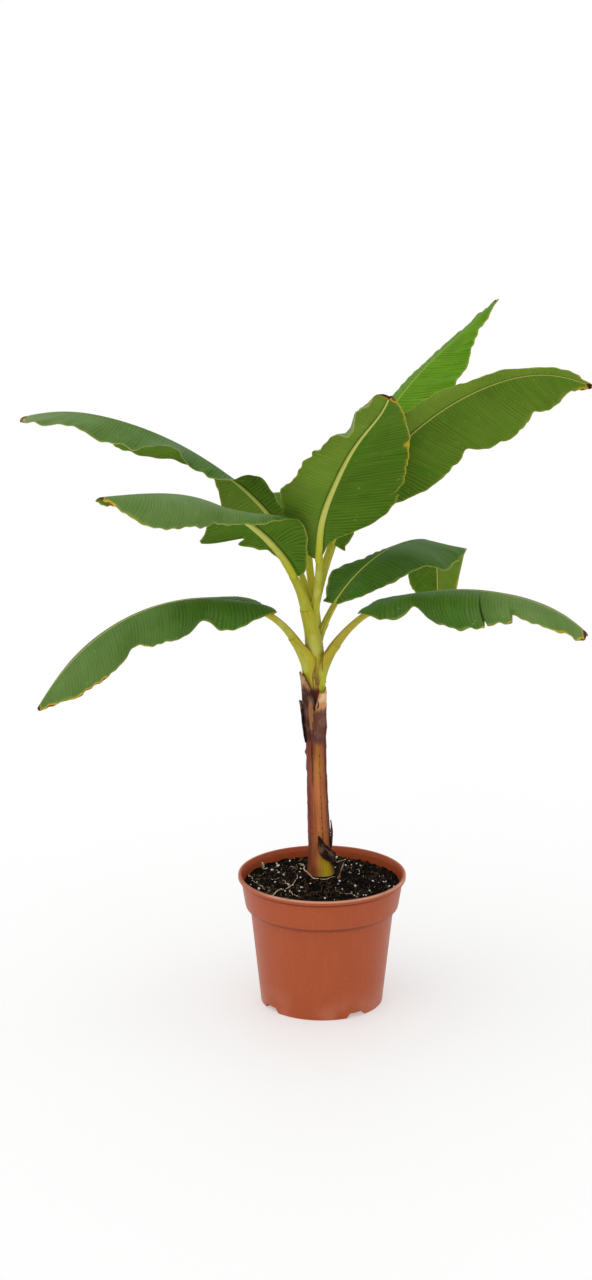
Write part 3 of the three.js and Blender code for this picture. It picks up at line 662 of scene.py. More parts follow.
def half_blade(leaf, at, s, sign, sizes, seed):
    """Points of one half blade from the rib out: offsets from the course and distance facts."""
    half = leaf["left" if sign > 0 else "right"]
    wide = reach_of(leaf, half, s)
    rib = rib_radius(leaf, s)
    root = np.radians(smooth_list(half["root"], s))[:, None]
    edge = np.radians(smooth_list(half["edge"], s))[:, None]
    k = ((np.arange(CURL_STEPS) + 0.5) / CURL_STEPS)[None]
    angle = mix(root, edge, k ** half.get("curl", 1.3))
    start = np.zeros((len(s), 1))
    out = np.hstack([start, np.cumsum(np.cos(angle), 1)]) / CURL_STEPS
    rise = np.hstack([start, np.cumsum(np.sin(angle), 1)]) / CURL_STEPS
    inner = np.array([0, 0.35, 0.7, 1.0, 1.3])[None] * (rib / wide)[:, None]
    inner = inner * np.minimum(1, 0.55 / inner[:, -1:])
    outer = np.concatenate([np.arange(1, 14) / 14.2, [0.965, 1.0]])[None]
    t = np.hstack([inner, mix(inner[:, -1:], 1, outer)])
    x = t * CURL_STEPS
    i = np.minimum(x.astype(int), CURL_STEPS - 1)
    f = x - i
    row = np.arange(len(s))[:, None]
    wide = wide[:, None]
    sideways = sign * mix(out[row, i], out[row, i + 1], f) * wide
    upward = mix(rise[row, i], rise[row, i + 1], f) * wide
    slant = smooth_list(half.get("slant", SLANT), s)[:, None] * wide * t ** 1.6
    length = (leaf["length"] - leaf["petiole"]) * MM
    along = s[:, None] * length
    calm = np.clip(s * 12, 0, 1)[:, None] * np.clip((1 - s) * 14, 0, 1)[:, None]
    free = np.clip((t - 0.25) / 0.75, 0, 1) ** 2 * calm
    wave = ripple(along, 0.055, seed + 3 * sign) * half.get("wave", 1)
    wave = wave + 0.45 * ripple(along, 0.021, seed + 9 + sign)
    upward = upward + sizes.wave * wave * free
    points = (at["point"][:, None] + at["side"][:, None] * sideways[..., None]
              + at["up"][:, None] * upward[..., None] + at["ahead"][:, None] * slant[..., None])
    marks = {
        "across": sign * t, "along": along + 0 * t, "margin": (1 - t) * wide,
        "rib": t * wide / rib[:, None],
    }
    dry = ease(s, 0.972, 0.992)[:, None] + 0 * t
    for which, spot, spread_along, spread_in, amount in leaf["dry"]:
        if which == sign:
            near = ((along - spot * length) / (spread_along * MM)) ** 2
            near = near + (marks["margin"] / (spread_in * MM)) ** 2
            dry = np.maximum(dry, amount * np.exp(-near))
    marks["dry"] = dry
    marks["tone"] = smooth_list(half.get("tone", [0, 0]), s)[:, None] + 0 * t
    return points, marks


def grid_normals(points):
    """Unit normals of a grid of points."""
    return unit(np.cross(np.gradient(points, axis=0), np.gradient(points, axis=1)))


def mesh_of(name, points, edges, faces):
    """A new mesh of points in metres."""
    mesh = bpy.data.meshes.new(name)
    mesh.from_pydata(np.reshape(points, (-1, 3)).tolist(), edges, faces)
    return mesh


def mark_mesh(mesh, key, values):
    """Keeps a number, or a vector where there are two axes, at each point of a mesh."""
    values = np.asarray(values, np.float32)
    kind, field = ("FLOAT_VECTOR", "vector") if values.ndim == 2 else ("FLOAT", "value")
    layer = mesh.attributes.new(key, kind, "POINT")
    layer.data.foreach_set(field, values.ravel())


def linked(name, data):
    """A new object for a mesh, a lamp or a camera, linked to the scene."""
    made = bpy.data.objects.new(name, data)
    bpy.context.scene.collection.objects.link(made)
    return made


def ring_faces(count, sides):
    """Faces between closed rings of points, ring after ring."""
    index = np.arange(count * sides).reshape(count, sides)
    after = np.roll(index, -1, axis=1)
    return np.stack([index[:-1], after[:-1], after[1:], index[1:]], -1).reshape(-1, 4)


def shell(name, top, under, marks, materials):
    """A closed thin sheet between two equal grids of points, one material on each face."""
    rows, columns = top.shape[:2]
    count = rows * columns
    grid = np.arange(count).reshape(rows, columns)
    low = grid + count

    def strip(a, b):
        return np.stack([a[:-1], b[:-1], b[1:], a[1:]], -1)

    quads = np.stack([grid[:-1, :-1], grid[1:, :-1], grid[1:, 1:], grid[:-1, 1:]], -1)
    quads = quads.reshape(-1, 4)
    rim = np.vstack([
        strip(grid[:, 0], low[:, 0]), strip(grid[:, -1], low[:, -1])[:, ::-1],
        strip(grid[0], low[0])[:, ::-1], strip(grid[-1], low[-1]),
    ])
    faces = np.vstack([quads, (quads + count)[:, ::-1], rim])
    mesh = mesh_of(name, np.stack([top, under]), [], faces.tolist())
    for key, values in marks.items():
        flat = np.broadcast_to(values, (rows, columns)).ravel()
        mark_mesh(mesh, key, np.concatenate([flat, flat]))
    for material in materials:
        mesh.materials.append(material)
    if len(materials) > 1:
        index = np.zeros(len(faces), np.int32)
        index[len(quads):2 * len(quads)] = 1
        mesh.polygons.foreach_set("material_index", index)
    return piece_of(name, mesh)


def piece_of(name, mesh, angle=50):
    """Links a mesh as a piece, smooth but for its sharp edges, with its faces outward."""
    sheet = bmesh.new()
    sheet.from_mesh(mesh)
    bmesh.ops.recalc_face_normals(sheet, faces=sheet.faces)
    if sheet.calc_volume(signed=True) < 0:
        bmesh.ops.reverse_faces(sheet, faces=sheet.faces)
    sheet.to_mesh(mesh)
    sheet.free()
    mesh.shade_smooth()
    mesh.set_sharp_from_angle(angle=math.radians(angle))
    return linked(name, mesh)


def seat(piece, slot, *nodes):
    """Hangs a finished piece on the root body and hides the parts that it stands for."""
    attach(piece, "root")
    if nodes:
        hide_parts(*nodes)


def polylines(name, lines):
    """A mesh of open lines; each line is a dict of points and the numbers kept at them."""
    points, edges = [], []
    for line in lines:
        first = len(points)
        points.extend(line["centre"].tolist())
        edges.extend((first + k, first + k + 1) for k in range(len(line["centre"]) - 1))
    mesh = mesh_of(name, points, edges, [])
    for key in lines[0]:
        mark_mesh(mesh, key, np.concatenate([line[key] for line in lines]))
    return linked(name, mesh)


def new_tree(name, inputs):
    """A Geometry Nodes tree with named inputs; returns its board and its inputs as Values."""
    tree = bpy.data.node_groups.new(name, "GeometryNodeTree")
    face = tree.interface
    face.new_socket("Geometry", in_out="INPUT", socket_type="NodeSocketGeometry")
    for label, kind, value in inputs:
        socket = face.new_socket(label, in_out="INPUT", socket_type="NodeSocket" + kind)
        if value is not None:
            socket.default_value = value
    face.new_socket("Geometry", in_out="OUTPUT", socket_type="NodeSocketGeometry")
    board = Board(tree)
    inlet = board.node("NodeGroupInput")
    return board, {socket.name: Value(board, socket) for socket in inlet.outputs if socket.name}


def close_tree(board, geometry, material):
    """Ends a tree in Realize Instances and Set Material."""
    real = board.node("GeometryNodeRealizeInstances", None, {0: geometry})
    dressed = board.node("GeometryNodeSetMaterial", None, {
        0: real.outputs[0], "Material": material})
    board.node("NodeGroupOutput", None, {0: dressed.outputs[0]})
    return board.tree


def grown(name, base, tree, values, angle=50):
    """Runs a tree on base with its inputs set, and keeps the result as a plain mesh."""
    live = base.modifiers.new("Growth", "NODES")
    live.node_group = tree
    for item in tree.interface.items_tree:
        if item.in_out == "INPUT" and item.name in values:
            live[item.identifier] = values[item.name]
    ready = bpy.context.evaluated_depsgraph_get()
    mesh = bpy.data.meshes.new_from_object(
        base.evaluated_get(ready), preserve_all_data_layers=True, depsgraph=ready)
    mesh.name = name
    base.modifiers.remove(live)
    bpy.data.objects.remove(base)
    return piece_of(name, mesh, angle)


def named(board, name, kind="FLOAT"):
    """A number or vector kept on the geometry."""
    made = board.node("GeometryNodeInputNamedAttribute", {"data_type": kind}, {"Name": name})
    return board.get(made, 0)


def tube(board, given, caps):
    """A tube with a ring at each point of the lines, and the angle round it at its points."""
    rail = board.node("GeometryNodeMeshToCurve", None, {"Mesh": given["Geometry"]})
    ring = board.node("GeometryNodeCurvePrimitiveCircle", None,
                      {"Resolution": given["Sides"], "Radius": 1.0})
    factor = board.get(board.node("GeometryNodeSplineParameter"), "Factor")
    kept = board.node("GeometryNodeStoreNamedAttribute", {
        "data_type": "FLOAT", "domain": "POINT"}, {
        "Geometry": ring.outputs[0], "Name": "turn", "Value": factor})
    body = board.node("GeometryNodeCurveToMesh", None, {
        "Curve": rail.outputs[0], "Profile Curve": kept.outputs[0], "Fill Caps": caps})
    return body.outputs[0], named(board, "turn") * (2 * math.pi)


def sweep_tree():
    """Sweeps a grooved round section along each line, by the girth, side and up kept on it."""
    board, given = new_tree("Stalk sweep", [
        ("Sides", "Int", 24), ("Skin", "Float", 0.02), ("Skin Pitch", "Float", 0.004),
        ("Material", "Material", None)])
    body, turn = tube(board, given, True)
    groove = named(board, "groove")
    radius = named(board, "girth")
    flat, lift = board.sum("COSINE", turn), board.sum("SINE", turn)
    upper = board.sum("MAXIMUM", lift, 0.0)
    high = lift - upper * groove * (1.0 - board.sum("ABSOLUTE", flat))
    centre = named(board, "centre", "FLOAT_VECTOR")
    across = board.vector("SCALE", named(board, "side", "FLOAT_VECTOR"), flat)
    above = board.vector("SCALE", named(board, "up", "FLOAT_VECTOR"), high - groove * 0.9)
    out = board.vector("SCALE", board.vector("ADD", across, above), radius)
    rough = board.noise(board.vector("ADD", centre, out), 1.0 / given["Skin Pitch"], 3.0)
    out = board.vector("SCALE", out, 1.0 + (rough - 0.5) * given["Skin"])
    moved = board.node("GeometryNodeSetPosition", None, {
        "Geometry": body, "Position": board.vector("ADD", centre, out)})
    return close_tree(board, moved.outputs[0], given["Material"])


def scatter_tree():
    """Strews small uneven lumps over faces."""
    board, given = new_tree("Scatter", [
        ("Density", "Float", 1000.0), ("Size", "Float", 0.001), ("Spread", "Float", 0.5),
        ("Detail", "Int", 1), ("Flatness", "Float", 0.7), ("Seed", "Int", 7),
        ("Material", "Material", None)])
    spots = board.node("GeometryNodeDistributePointsOnFaces", {"distribute_method": "RANDOM"}, {
        "Mesh": given["Geometry"], "Density": given["Density"], "Seed": given["Seed"]})
    lump = board.node("GeometryNodeMeshIcoSphere", None,
                      {"Radius": 1.0, "Subdivisions": given["Detail"]})
    turned = board.node("FunctionNodeRandomValue", {"data_type": "FLOAT_VECTOR"}, {
        0: (0.0, 0.0, 0.0), 1: (6.28, 6.28, 6.28), "Seed": given["Seed"]})
    size = board.node("FunctionNodeRandomValue", {"data_type": "FLOAT"}, {
        2: 1.0 - given["Spread"], 3: 1.0 + given["Spread"], "Seed": given["Seed"]})
    size = board.get(size, 1) * given["Size"]
    scale = board.join(size, size * given["Flatness"], size * 1.2)
    placed = board.node("GeometryNodeInstanceOnPoints", None, {
        "Points": spots.outputs[0], "Instance": lump.outputs[0],
        "Rotation": turned.outputs[0], "Scale": scale})
    real = board.node("GeometryNodeRealizeInstances", None, {0: placed.outputs[0]})
    spot = board.get(board.node("GeometryNodeInputPosition"))
    rough = board.node("ShaderNodeTexNoise", None, {
        "Vector": spot, "Scale": 1.0 / given["Size"], "Detail": 1.0})
    shift = board.vector("SUBTRACT", board.get(rough, "Color"), (0.5, 0.5, 0.5))
    shift = board.vector("SCALE", shift, given["Size"] * 0.9)
    moved = board.node("GeometryNodeSetPosition", None, {0: real.outputs[0], "Offset": shift})
    return close_tree(board, moved.outputs[0], given["Material"])


def pot_tree():
    """Turns a profile about the pot's axis, then cuts the foot notches and the drain holes."""
    board, given = new_tree("Turned pot", [
        ("Sides", "Int", 192), ("Notches", "Int", 4), ("Notch Turn", "Float", -56.0),
        ("Notch Width", "Float", 0.038), ("Notch Height", "Float", 0.007),
        ("Foot Radius", "Float", 0.0875), ("Drain Holes", "Int", 8),
        ("Drain Radius", "Float", 0.0045), ("Material", "Material", None)])
    body, turn = tube(board, given, False)
    radius, height = named(board, "out"), named(board, "height")
    spot = board.join(board.sum("COSINE", turn) * radius, board.sum("SINE", turn) * radius, height)
    moved = board.node("GeometryNodeSetPosition", None, {0: body, "Position": spot})
    merged = board.node("GeometryNodeMergeByDistance", None, {
        0: moved.outputs[0], "Distance": 1e-5})
    flipped = board.node("GeometryNodeFlipFaces", None, {0: merged.outputs[0]})
    notch = board.node("GeometryNodeMeshCube", None, {"Size": board.join(
        0.06, given["Notch Width"], given["Notch Height"] * 2.0)})
    at = board.get(board.node("GeometryNodeInputPosition"))
    parts = board.node("ShaderNodeSeparateXYZ", None, {0: at})
    narrow = 1.0 - (board.get(parts, 2) / given["Notch Height"] * 0.5 + 0.5) * 0.5
    shaped = board.node("GeometryNodeSetPosition", None, {0: notch.outputs[0], "Position":
                        board.join(board.get(parts, 0), board.get(parts, 1) * narrow * 1.15,
                                   board.get(parts, 2))})
    notches = set_round(board, given["Notches"], given["Foot Radius"] + 0.016,
                        given["Notch Turn"], shaped.outputs[0])
    drain = board.node("GeometryNodeMeshCylinder", None, {
        "Vertices": 24, "Radius": given["Drain Radius"], "Depth": 0.05})
    drains = set_round(board, given["Drain Holes"], given["Foot Radius"] - 0.022,
                       given["Notch Turn"], drain.outputs[0])
    cut = board.node("GeometryNodeMeshBoolean", {"operation": "DIFFERENCE"}, {
        "Mesh 1": flipped.outputs[0], "Mesh 2": notches})
    board.feed(cut.inputs["Mesh 2"], drains)
    return close_tree(board, cut.outputs[0], given["Material"])


def set_round(board, count, radius, turn, shape):
    """Copies of a shape set round the axis, each turned to face outward."""
    index = board.get(board.node("GeometryNodeInputIndex"))
    angle = (index * 360.0 / count + turn) * (math.pi / 180)
    line = board.node("GeometryNodeMeshLine", None, {"Count": count})
    spot = board.join(board.sum("COSINE", angle) * radius, board.sum("SINE", angle) * radius, 0.0)
    points = board.node("GeometryNodeSetPosition", None, {0: line.outputs[0], "Position": spot})
    placed = board.node("GeometryNodeInstanceOnPoints", None, {
        "Points": points.outputs[0], "Instance": shape, "Rotation": board.join(0.0, 0.0, angle)})
    return board.node("GeometryNodeRealizeInstances", None, {0: placed.outputs[0]}).outputs[0]


def stem_centre(z):
    """Centre of the stem at heights in metres."""
    u = (z / MM - STEM_LOW) / (STEM_HIGH - STEM_LOW)
    return np.stack([smooth_list(STEM_X, u) * MM, smooth_list(STEM_Y, u) * MM, z], -1)


def stem_radius(z):
    """Radius of the stem at heights in metres, with the flare at its foot."""
    u = (z / MM - STEM_LOW) / (STEM_HIGH - STEM_LOW)
    flare = FLARE * np.exp(-np.maximum(z / MM - STEM_LOW, -4) / FLARE_FALL)
    return (smooth_list(STEM_RADIUS, u) + flare) * MM


def from_stem(x, y):
    """Distance in plan from the middle of the stem's foot."""
    return np.hypot(x - STEM_X[0] * MM, y - STEM_Y[0] * MM)


def soil_height(x, y, level):
    """Height of the soil's lumpy top: it rises a little towards the stem."""
    away = from_stem(x, y)
    rise = level + MOUND * MM * np.exp(-(away / (MOUND_SPREAD * MM)) ** 2)
    rough = ripple(x, 0.03, 21, y * 210) + 0.6 * ripple(y, 0.018, 22, x * 260)
    fine = ripple(x, 0.008, 23, y * 700) * 0.5
    calm = np.clip((away - 0.02) / 0.03, 0, 1)
    return rise + (rough * 0.9 + fine) * 0.0016 * calm


def pot_profile(sizes):
    """The pot's closed section from the axis below to the axis above, with rounded corners."""
    lip = sizes.height - LIP * MM
    inner = sizes.band_top - sizes.wall
    floor = POT_FLOOR * MM
    corners = [
        (0, 0, 0), (0.028, 0, 0.8), (0.030, 0.003, 0.8), (sizes.foot - 0.011, 0.003, 0.8),
        (sizes.foot - 0.0095, 0, 0.8),
        (sizes.foot, 0, 1.2), (sizes.ledge, sizes.band_z - 0.007, 0.7),
        (sizes.band_low - 0.0012, sizes.band_z - 0.0035, 0.8), (sizes.band_low, sizes.band_z, 1.5),
        (sizes.band_top, lip - 0.0026, 0.6), (sizes.band_top - 0.0007, lip - 0.0004, 0.6),
        (sizes.rim, lip + 0.0004, 1.0), (sizes.rim, sizes.height, 1.5),
        (sizes.rim - 0.0042, sizes.height, 1.2), (inner, lip, 1.6),
        (sizes.band_low - sizes.wall, sizes.band_z, 1.5),
        (sizes.ledge - sizes.wall, sizes.band_z - 0.009, 1.5),
        (sizes.foot - sizes.wall, floor, 2.0), (0, floor, 0),
    ]
    line = []
    for k, (r, z, bend) in enumerate(corners):
        spot = np.array([r, z])
        if not bend:
            line.append(spot)
            continue
        before = np.array(corners[k - 1][:2]) - spot
        after = np.array(corners[k + 1][:2]) - spot
        a = spot + before / np.linalg.norm(before) * bend * MM
        c = spot + after / np.linalg.norm(after) * bend * MM
        for f in np.linspace(0, 1, 6):
            line.append((1 - f) ** 2 * a + 2 * f * (1 - f) * spot + f * f * c)
    return np.array(line)


def pot_finish(sizes):
    """Satin terracotta plastic with faint flow streaks, dust and scuffs, painted shade under the
    lip and in the corner under the band, and a painted highlight along the lip's top edge.
    """
    def paint(board):
        here = board.here()
        parts = board.node("ShaderNodeSeparateXYZ", None, {0: here})
        height = board.get(parts, 2)
        cloud = board.noise(here, 22.0, 3.0)
        flow = board.noise(board.vector("MULTIPLY", here, (1.0, 1.0, 0.08)), 160.0, 3.0)
        fleck = board.rise(board.noise(here, 420.0, 2.0), 0.66, 0.74)
        colour = board.blend(board.rise(cloud, 0.3, 0.75) * 0.5, solid(sizes.colour, 0.93),
                             solid(sizes.colour))
        colour = board.blend(board.rise(flow, 0.45, 0.75) * 0.18, colour,
                             solid(sizes.colour, 1.12, 0.02))
        colour = board.blend(fleck * 0.18, colour, linear(0xD9B49C))
        dust = board.rise(height, 0.05, 0.0) * board.rise(cloud, 0.4, 0.65) * 0.25
        colour = board.blend(dust, colour, linear(0xC98F73))
        out = board.vector("LENGTH", board.vector("MULTIPLY", here, (1.0, 1.0, 0.0)))
        low, lip, top = sizes.band_z, sizes.height - LIP * MM, sizes.height
        # Painted shade: a dark line in the corner under the band (groove) and under the lip
        # (under).
        groove = (board.rise(height, low - 0.0085, low - 0.0068)
                  * board.rise(height, low - 0.0006, low - 0.0024))
        under = (board.rise(height, lip - 0.0045, lip - 0.0029)
                 * board.rise(height, lip + 0.0011, lip + 0.0001)
                 * board.rise(out, sizes.band_top - 0.0027, sizes.band_top - 0.0015))
        colour = board.blend((groove + under * 0.8) * 0.62, colour, linear(0x6A2A12))
        # Painted highlight along the lip's top outer edge.
        lip_highlight = (board.rise(height, top - 0.0030, top - 0.0014)
                * board.rise(out, sizes.rim - 0.0022, sizes.rim - 0.0014))
        colour = board.blend(lip_highlight * board.rise(cloud, 0.3, 0.6) * 0.5, colour, linear(0xE8BFA4))
        rough = cloud * 0.16 + 0.32 + fleck * 0.15
        relief = flow * 0.5 + board.noise(here, 900.0, 2.0) * 0.5
        return {"colour": colour, "rough": rough, "relief": relief, "depth": 0.00012,
                "strength": 0.5}
    return finish_of("pot_plastic", paint, **{"Specular IOR Level": 0.3})


def soil_finish():
    """Dark peat with brown and grey crumbs."""
    def paint(board):
        here = board.here()
        wide = board.noise(here, 90.0, 4.0)
        fine = board.noise(here, 700.0, 3.0)
        colour = board.blend(board.rise(wide, 0.4, 0.7), linear(0x050302), linear(0x140D08))
        colour = board.blend(board.rise(fine, 0.62, 0.75) * 0.5, colour, linear(0x2A1D14))
        return {"colour": colour, "rough": 0.78 + fine * 0.2, "relief": fine + wide,
                "depth": 0.0008}
    return finish_of("soil_peat", paint, **{"Specular IOR Level": 0.08})


def speck_finish(name, dark, light, scale, rough):
    """A plain two-tone mineral or bark finish for small loose things."""
    def paint(board):
        here = board.here()
        cloud = board.noise(here, scale, 3.0)
        colour = board.blend(board.rise(cloud, 0.35, 0.7), linear(dark), linear(light))
        return {"colour": colour, "rough": rough, "relief": board.noise(here, scale * 6, 2.0),
                "depth": 0.0003}
    return finish_of(name, paint, **{"Specular IOR Level": 0.12})


def stem_finish(sizes):
    """The stem's red, tan, olive and purple sheaths, green at the top, with brown fibres; the tan
    front is partly a painted highlight, and painted shade darkens its right edge and the gaps
    between sheaths.
    """
    def paint(board):
        here, turn = board.here(), board.mark("turn")
        parts = board.node("ShaderNodeSeparateXYZ", None, {0: here})
        height = board.get(parts, 2)
        long = board.noise(board.join(turn * 9.0, height * 9.0, 0.0), 2.2, 4.0, 0.6)
        fine = board.noise(board.join(turn * 60.0, height * 30.0, 0.0), 1.0, 3.0)
        streak = board.rise(long, 0.35, 0.65)
        colour = board.blend(streak, solid(sizes.maroon), linear(0x974A30))
        colour = board.blend(board.mark("tan") * board.rise(long, 0.1, 0.55), colour,
                             solid(sizes.tan))
        colour = board.blend(board.mark("olive") * board.rise(fine, 0.2, 0.6), colour,
                             linear(0xBC8030))
        colour = board.blend(board.mark("violet") * 0.9, colour, linear(0x5E4148))
        colour = board.blend(board.mark("shade") * 0.85, colour, linear(0x3A1D17))
        seam = board.mark("seam")
        dots = board.noise(board.join(turn * 30.0, height * 120.0, 0.0), 1.6, 2.0) + seam * 0.22
        where = board.sum("ADD", board.mark("specks"), seam, clamp=True)
        colour = board.blend(board.rise(dots, 0.66, 0.74) * where, colour, linear(0x2C1710))
        yellow = board.blend(streak, linear(0xB89C1C), linear(0xD6BC30))
        colour = board.blend(board.mark("fresh"), colour, yellow)
        green = board.blend(streak, linear(0x9A8C28), linear(0xBCAC3C))
        colour = board.blend(board.mark("green"), colour, green)
        relief = long * 0.4 + fine * 0.6
        return {"colour": colour, "rough": 0.4 + long * 0.22, "relief": relief, "depth": 0.0006}
    return finish_of("stem_sheaths", paint, **{"Specular IOR Level": 0.16})


def stalk_finish(stalk):
    """Yellow-green stalks with darker streaks and thin brown edges to the groove."""
    def paint(board):
        here, turn, along = board.here(), board.mark("turn"), board.mark("along")
        streak = board.noise(board.join(turn * 22.0, along * 14.0, 0.0), 1.6, 3.0)
        cloud = board.noise(here, 30.0, 3.0)
        green = solid(stalk, (0.62, 0.74, 0.5))
        colour = board.blend(board.rise(streak, 0.62, 0.3), solid(stalk), green)
        colour = board.blend(board.rise(cloud, 0.5, 0.7) * 0.45, colour, linear(0xD8D878))
        edge = board.sum("ABSOLUTE", board.sum("ABSOLUTE", turn - 0.25) - 0.165)
        brown = board.rise(edge, 0.024, 0.004) * board.rise(cloud, 0.3, 0.5)
        colour = board.blend(brown * 0.85, colour, linear(0x8A5A30))
        blush = board.mark("blush") * board.rise(streak, 0.3, 0.7)
        colour = board.blend(blush, colour, linear(0xA8743C))
        aged = board.mark("aged") * board.rise(cloud, 0.34, 0.6)
        colour = board.blend(aged * 0.85, colour, linear(0x74482A))
        return {"colour": colour, "rough": 0.4 + cloud * 0.14, "relief": streak, "depth": 0.0004}
    return finish_of("leaf_stalk", paint, **{"Specular IOR Level": 0.16})


def clasp_finish(stalk):
    """Green sheaths: yellow-green, veined along, with thin dry brown margins."""
    def paint(board):
        here, edge = board.here(), board.mark("margin")
        across, along = board.mark("across"), board.mark("along")
        streak = board.noise(board.join(across * 9.0, along * 12.0, 0.0), 2.0, 3.0)
        cloud = board.noise(here, 34.0, 3.0)
        colour = board.blend(board.rise(streak, 0.3, 0.66), solid(stalk, (0.66, 0.66, 0.5)),
                             solid(stalk, (1.05, 0.88, 0.95)))
        colour = board.blend(board.rise(cloud, 0.52, 0.7) * 0.3, colour, linear(0xB2A040))
        halo = board.rise(edge + (cloud - 0.5) * 0.006, 0.006, 0.0)
        colour = board.blend(halo * 0.5, colour, linear(0xC89A4E))
        rim = board.rise(edge + (cloud - 0.5) * 0.0016, 0.0014, 0.0005)
        colour = board.blend(rim * 0.9, colour, linear(0x7E4526))
        low = board.mark("dry") * board.rise(cloud, 0.3, 0.6)
        colour = board.blend(low, colour, linear(0x7B4E2B))
        return {"colour": colour, "rough": 0.42 + cloud * 0.14, "relief": streak, "depth": 0.0004}
    return finish_of("green_sheath", paint, **{"Specular IOR Level": 0.16})


def flap_finish(name, dark, middle, light, low, stripe, edge):
    """Dry papery sheath: brown, streaked along its fibres, darker low down and at torn edges."""
    def paint(board):
        here, along = board.here(), board.mark("along")
        grain = board.join(board.mark("across") * 7.0, along * 18.0, 0.0)
        streak = board.noise(grain, 2.4, 4.0, 0.65)
        cloud = board.noise(here, 70.0, 3.0)
        colour = board.blend(board.rise(streak, 0.3, 0.6), linear(dark), linear(middle))
        colour = board.blend(board.rise(cloud, 0.45, 0.65), colour, linear(light))
        lower = board.rise(along + (streak - 0.5) * 0.012, edge, edge - 0.008)
        stain = board.blend(board.rise(cloud, 0.44, 0.62) * 0.45, linear(low), linear(0x7A5653))
        colour = board.blend(lower * 0.92, colour, stain)
        spot = board.rise(board.mark("stripe") + (streak - 0.5) * 0.3, 0.4, 0.6)
        colour = board.blend(spot * 0.9, colour, linear(stripe))
        rim = board.rise(board.mark("margin") + (cloud - 0.5) * 0.002, 0.0012, 0.0002)
        colour = board.blend(rim * 0.8, colour, linear(0x2B1710))
        return {"colour": colour, "rough": 0.6 + streak * 0.25, "relief": streak + cloud * 0.4,
                "depth": 0.0008}
    return finish_of(name, paint, **{"Specular IOR Level": 0.12})


def blade_finish(name, base, rib, stalk, kind):
    """One face of a leaf: side veins, cloudy painted sheen and shade, pale margin line, midrib and
    dry places.
    """
    upper = kind != "under"
    young = kind == "young"

    def paint(board):
        here, along, across = board.here(), board.mark("along"), board.mark("across")
        margin, ribs, dry = board.mark("margin"), board.mark("rib"), board.mark("dry")
        reach = board.sum("ABSOLUTE", across)

        def bands(long, wide, start=0.0, detail=2.0, rough=0.5):
            """Noise drawn out along the side veins."""
            spot = board.join(along * long, across * wide + start, 0.0)
            return board.noise(spot, 1.0, detail, rough)

        drift, uneven = bands(26.0, 0.7), bands(120.0, 1.0, detail=3.0, rough=0.6)
        thin, broad, lush = bands(620.0, 1.6), bands(48.0, 1.2), bands(15.0, 1.5, 9.0, 3.0)
        phase = along * (2 * math.pi / (VEIN_PITCH * MM)) + drift * 16.0
        wave = board.sum("SINE", phase) * 0.5 + 0.5
        cloud = board.noise(here, 16.0, 3.0)
        deep = 0.42 if upper else 0.46
        colour = board.blend(wave * board.rise(uneven, 0.25, 0.65), solid(base, 1 + deep * 0.4),
                             solid(base, 1 - deep))
        colour = board.blend(board.rise(uneven, 0.5, 0.7) * 0.5, colour, solid(base, 1.32, 0.004))
        colour = board.blend(board.rise(broad, 0.44, 0.3) * 0.4, colour, solid(base, 0.72))
        colour = board.blend(board.rise(thin, 0.55, 0.8) * 0.3, colour, solid(base, 1.55, 0.01))
        colour = board.blend(board.rise(lush, 0.5, 0.68) * 0.45, colour, linear(0x3C7A12))
        colour = board.blend(board.rise(lush, 0.46, 0.32) * 0.3, colour, solid(base, 0.62))
        # Painted sheen and light through the leaf where tone is above 0, painted shade where it is
        # below, broken up by noise.
        tone = board.mark("tone") + (cloud - 0.5) * 0.5
        pale = linear(0x93A866) if upper else linear(0x94AC40)
        colour = board.blend(board.rise(tone, 0.0, 1.0) * 0.62, colour,
                             solid(base, 1.6, 0.01) if young else pale)
        colour = board.blend(board.rise(tone, -0.1, -1.0) * 0.6, colour, solid(base, 0.5))
        near = board.rise(ribs, 3.4, 1.3) * 0.3
        colour = board.blend(near, colour, solid(base, 1.45, 0.012))
        halo = board.rise(margin + (broad - 0.5) * 0.008, 0.004, 0.0) * 0.45
        colour = board.blend(halo, colour, linear(0x9AA53A))
        line = board.rise(margin + (thin - 0.5) * 0.0004, 0.0009, 0.0004)
        colour = board.blend(line * board.rise(broad, 0.35, 0.6) * 0.85, colour, linear(0xCDBF72))
        inner, outer = (0.3, 0.5) if upper else (0.86, 1.1)
        dark = board.rise(ribs, outer + 0.7, outer) * board.rise(ribs, inner, outer)
        colour = board.blend(dark * 0.45, colour, solid(base, 0.45))
        stripe = board.rise(ribs, outer, inner) * board.rise(reach, 0.9, 0.5)
        core = board.blend(board.rise(along, 0.0, 0.09), solid(stalk), solid(rib))
        colour = board.blend(stripe, colour, core)
        ragged = dry + (cloud - 0.5) * 0.35 + (uneven - 0.5) * 0.3
        colour = board.blend(board.rise(ragged, 0.3, 0.48), colour, linear(0xC2A62C))
        colour = board.blend(board.rise(ragged, 0.5, 0.66), colour, linear(0x84501E))
        colour = board.blend(board.rise(ragged, 0.8, 0.95), colour, linear(0x3A2415))
        fleck = board.rise(board.noise(here, 260.0, 1.0), 0.735, 0.765)
        colour = board.blend(fleck * 0.45, colour, linear(0xA8B06A))
        rough = (0.38 if upper else 0.6) + cloud * 0.16
        relief = (1.0 - wave) * uneven * 0.8 + thin * 0.2
        return {"colour": colour, "rough": rough, "relief": relief, "depth": 0.0005,
                "strength": 0.6 if upper else 0.8}
    gloss = {"upper": 0.2, "young": 0.05, "under": 0.06}[kind]
    return finish_of(name, paint, **{"Specular IOR Level": gloss})


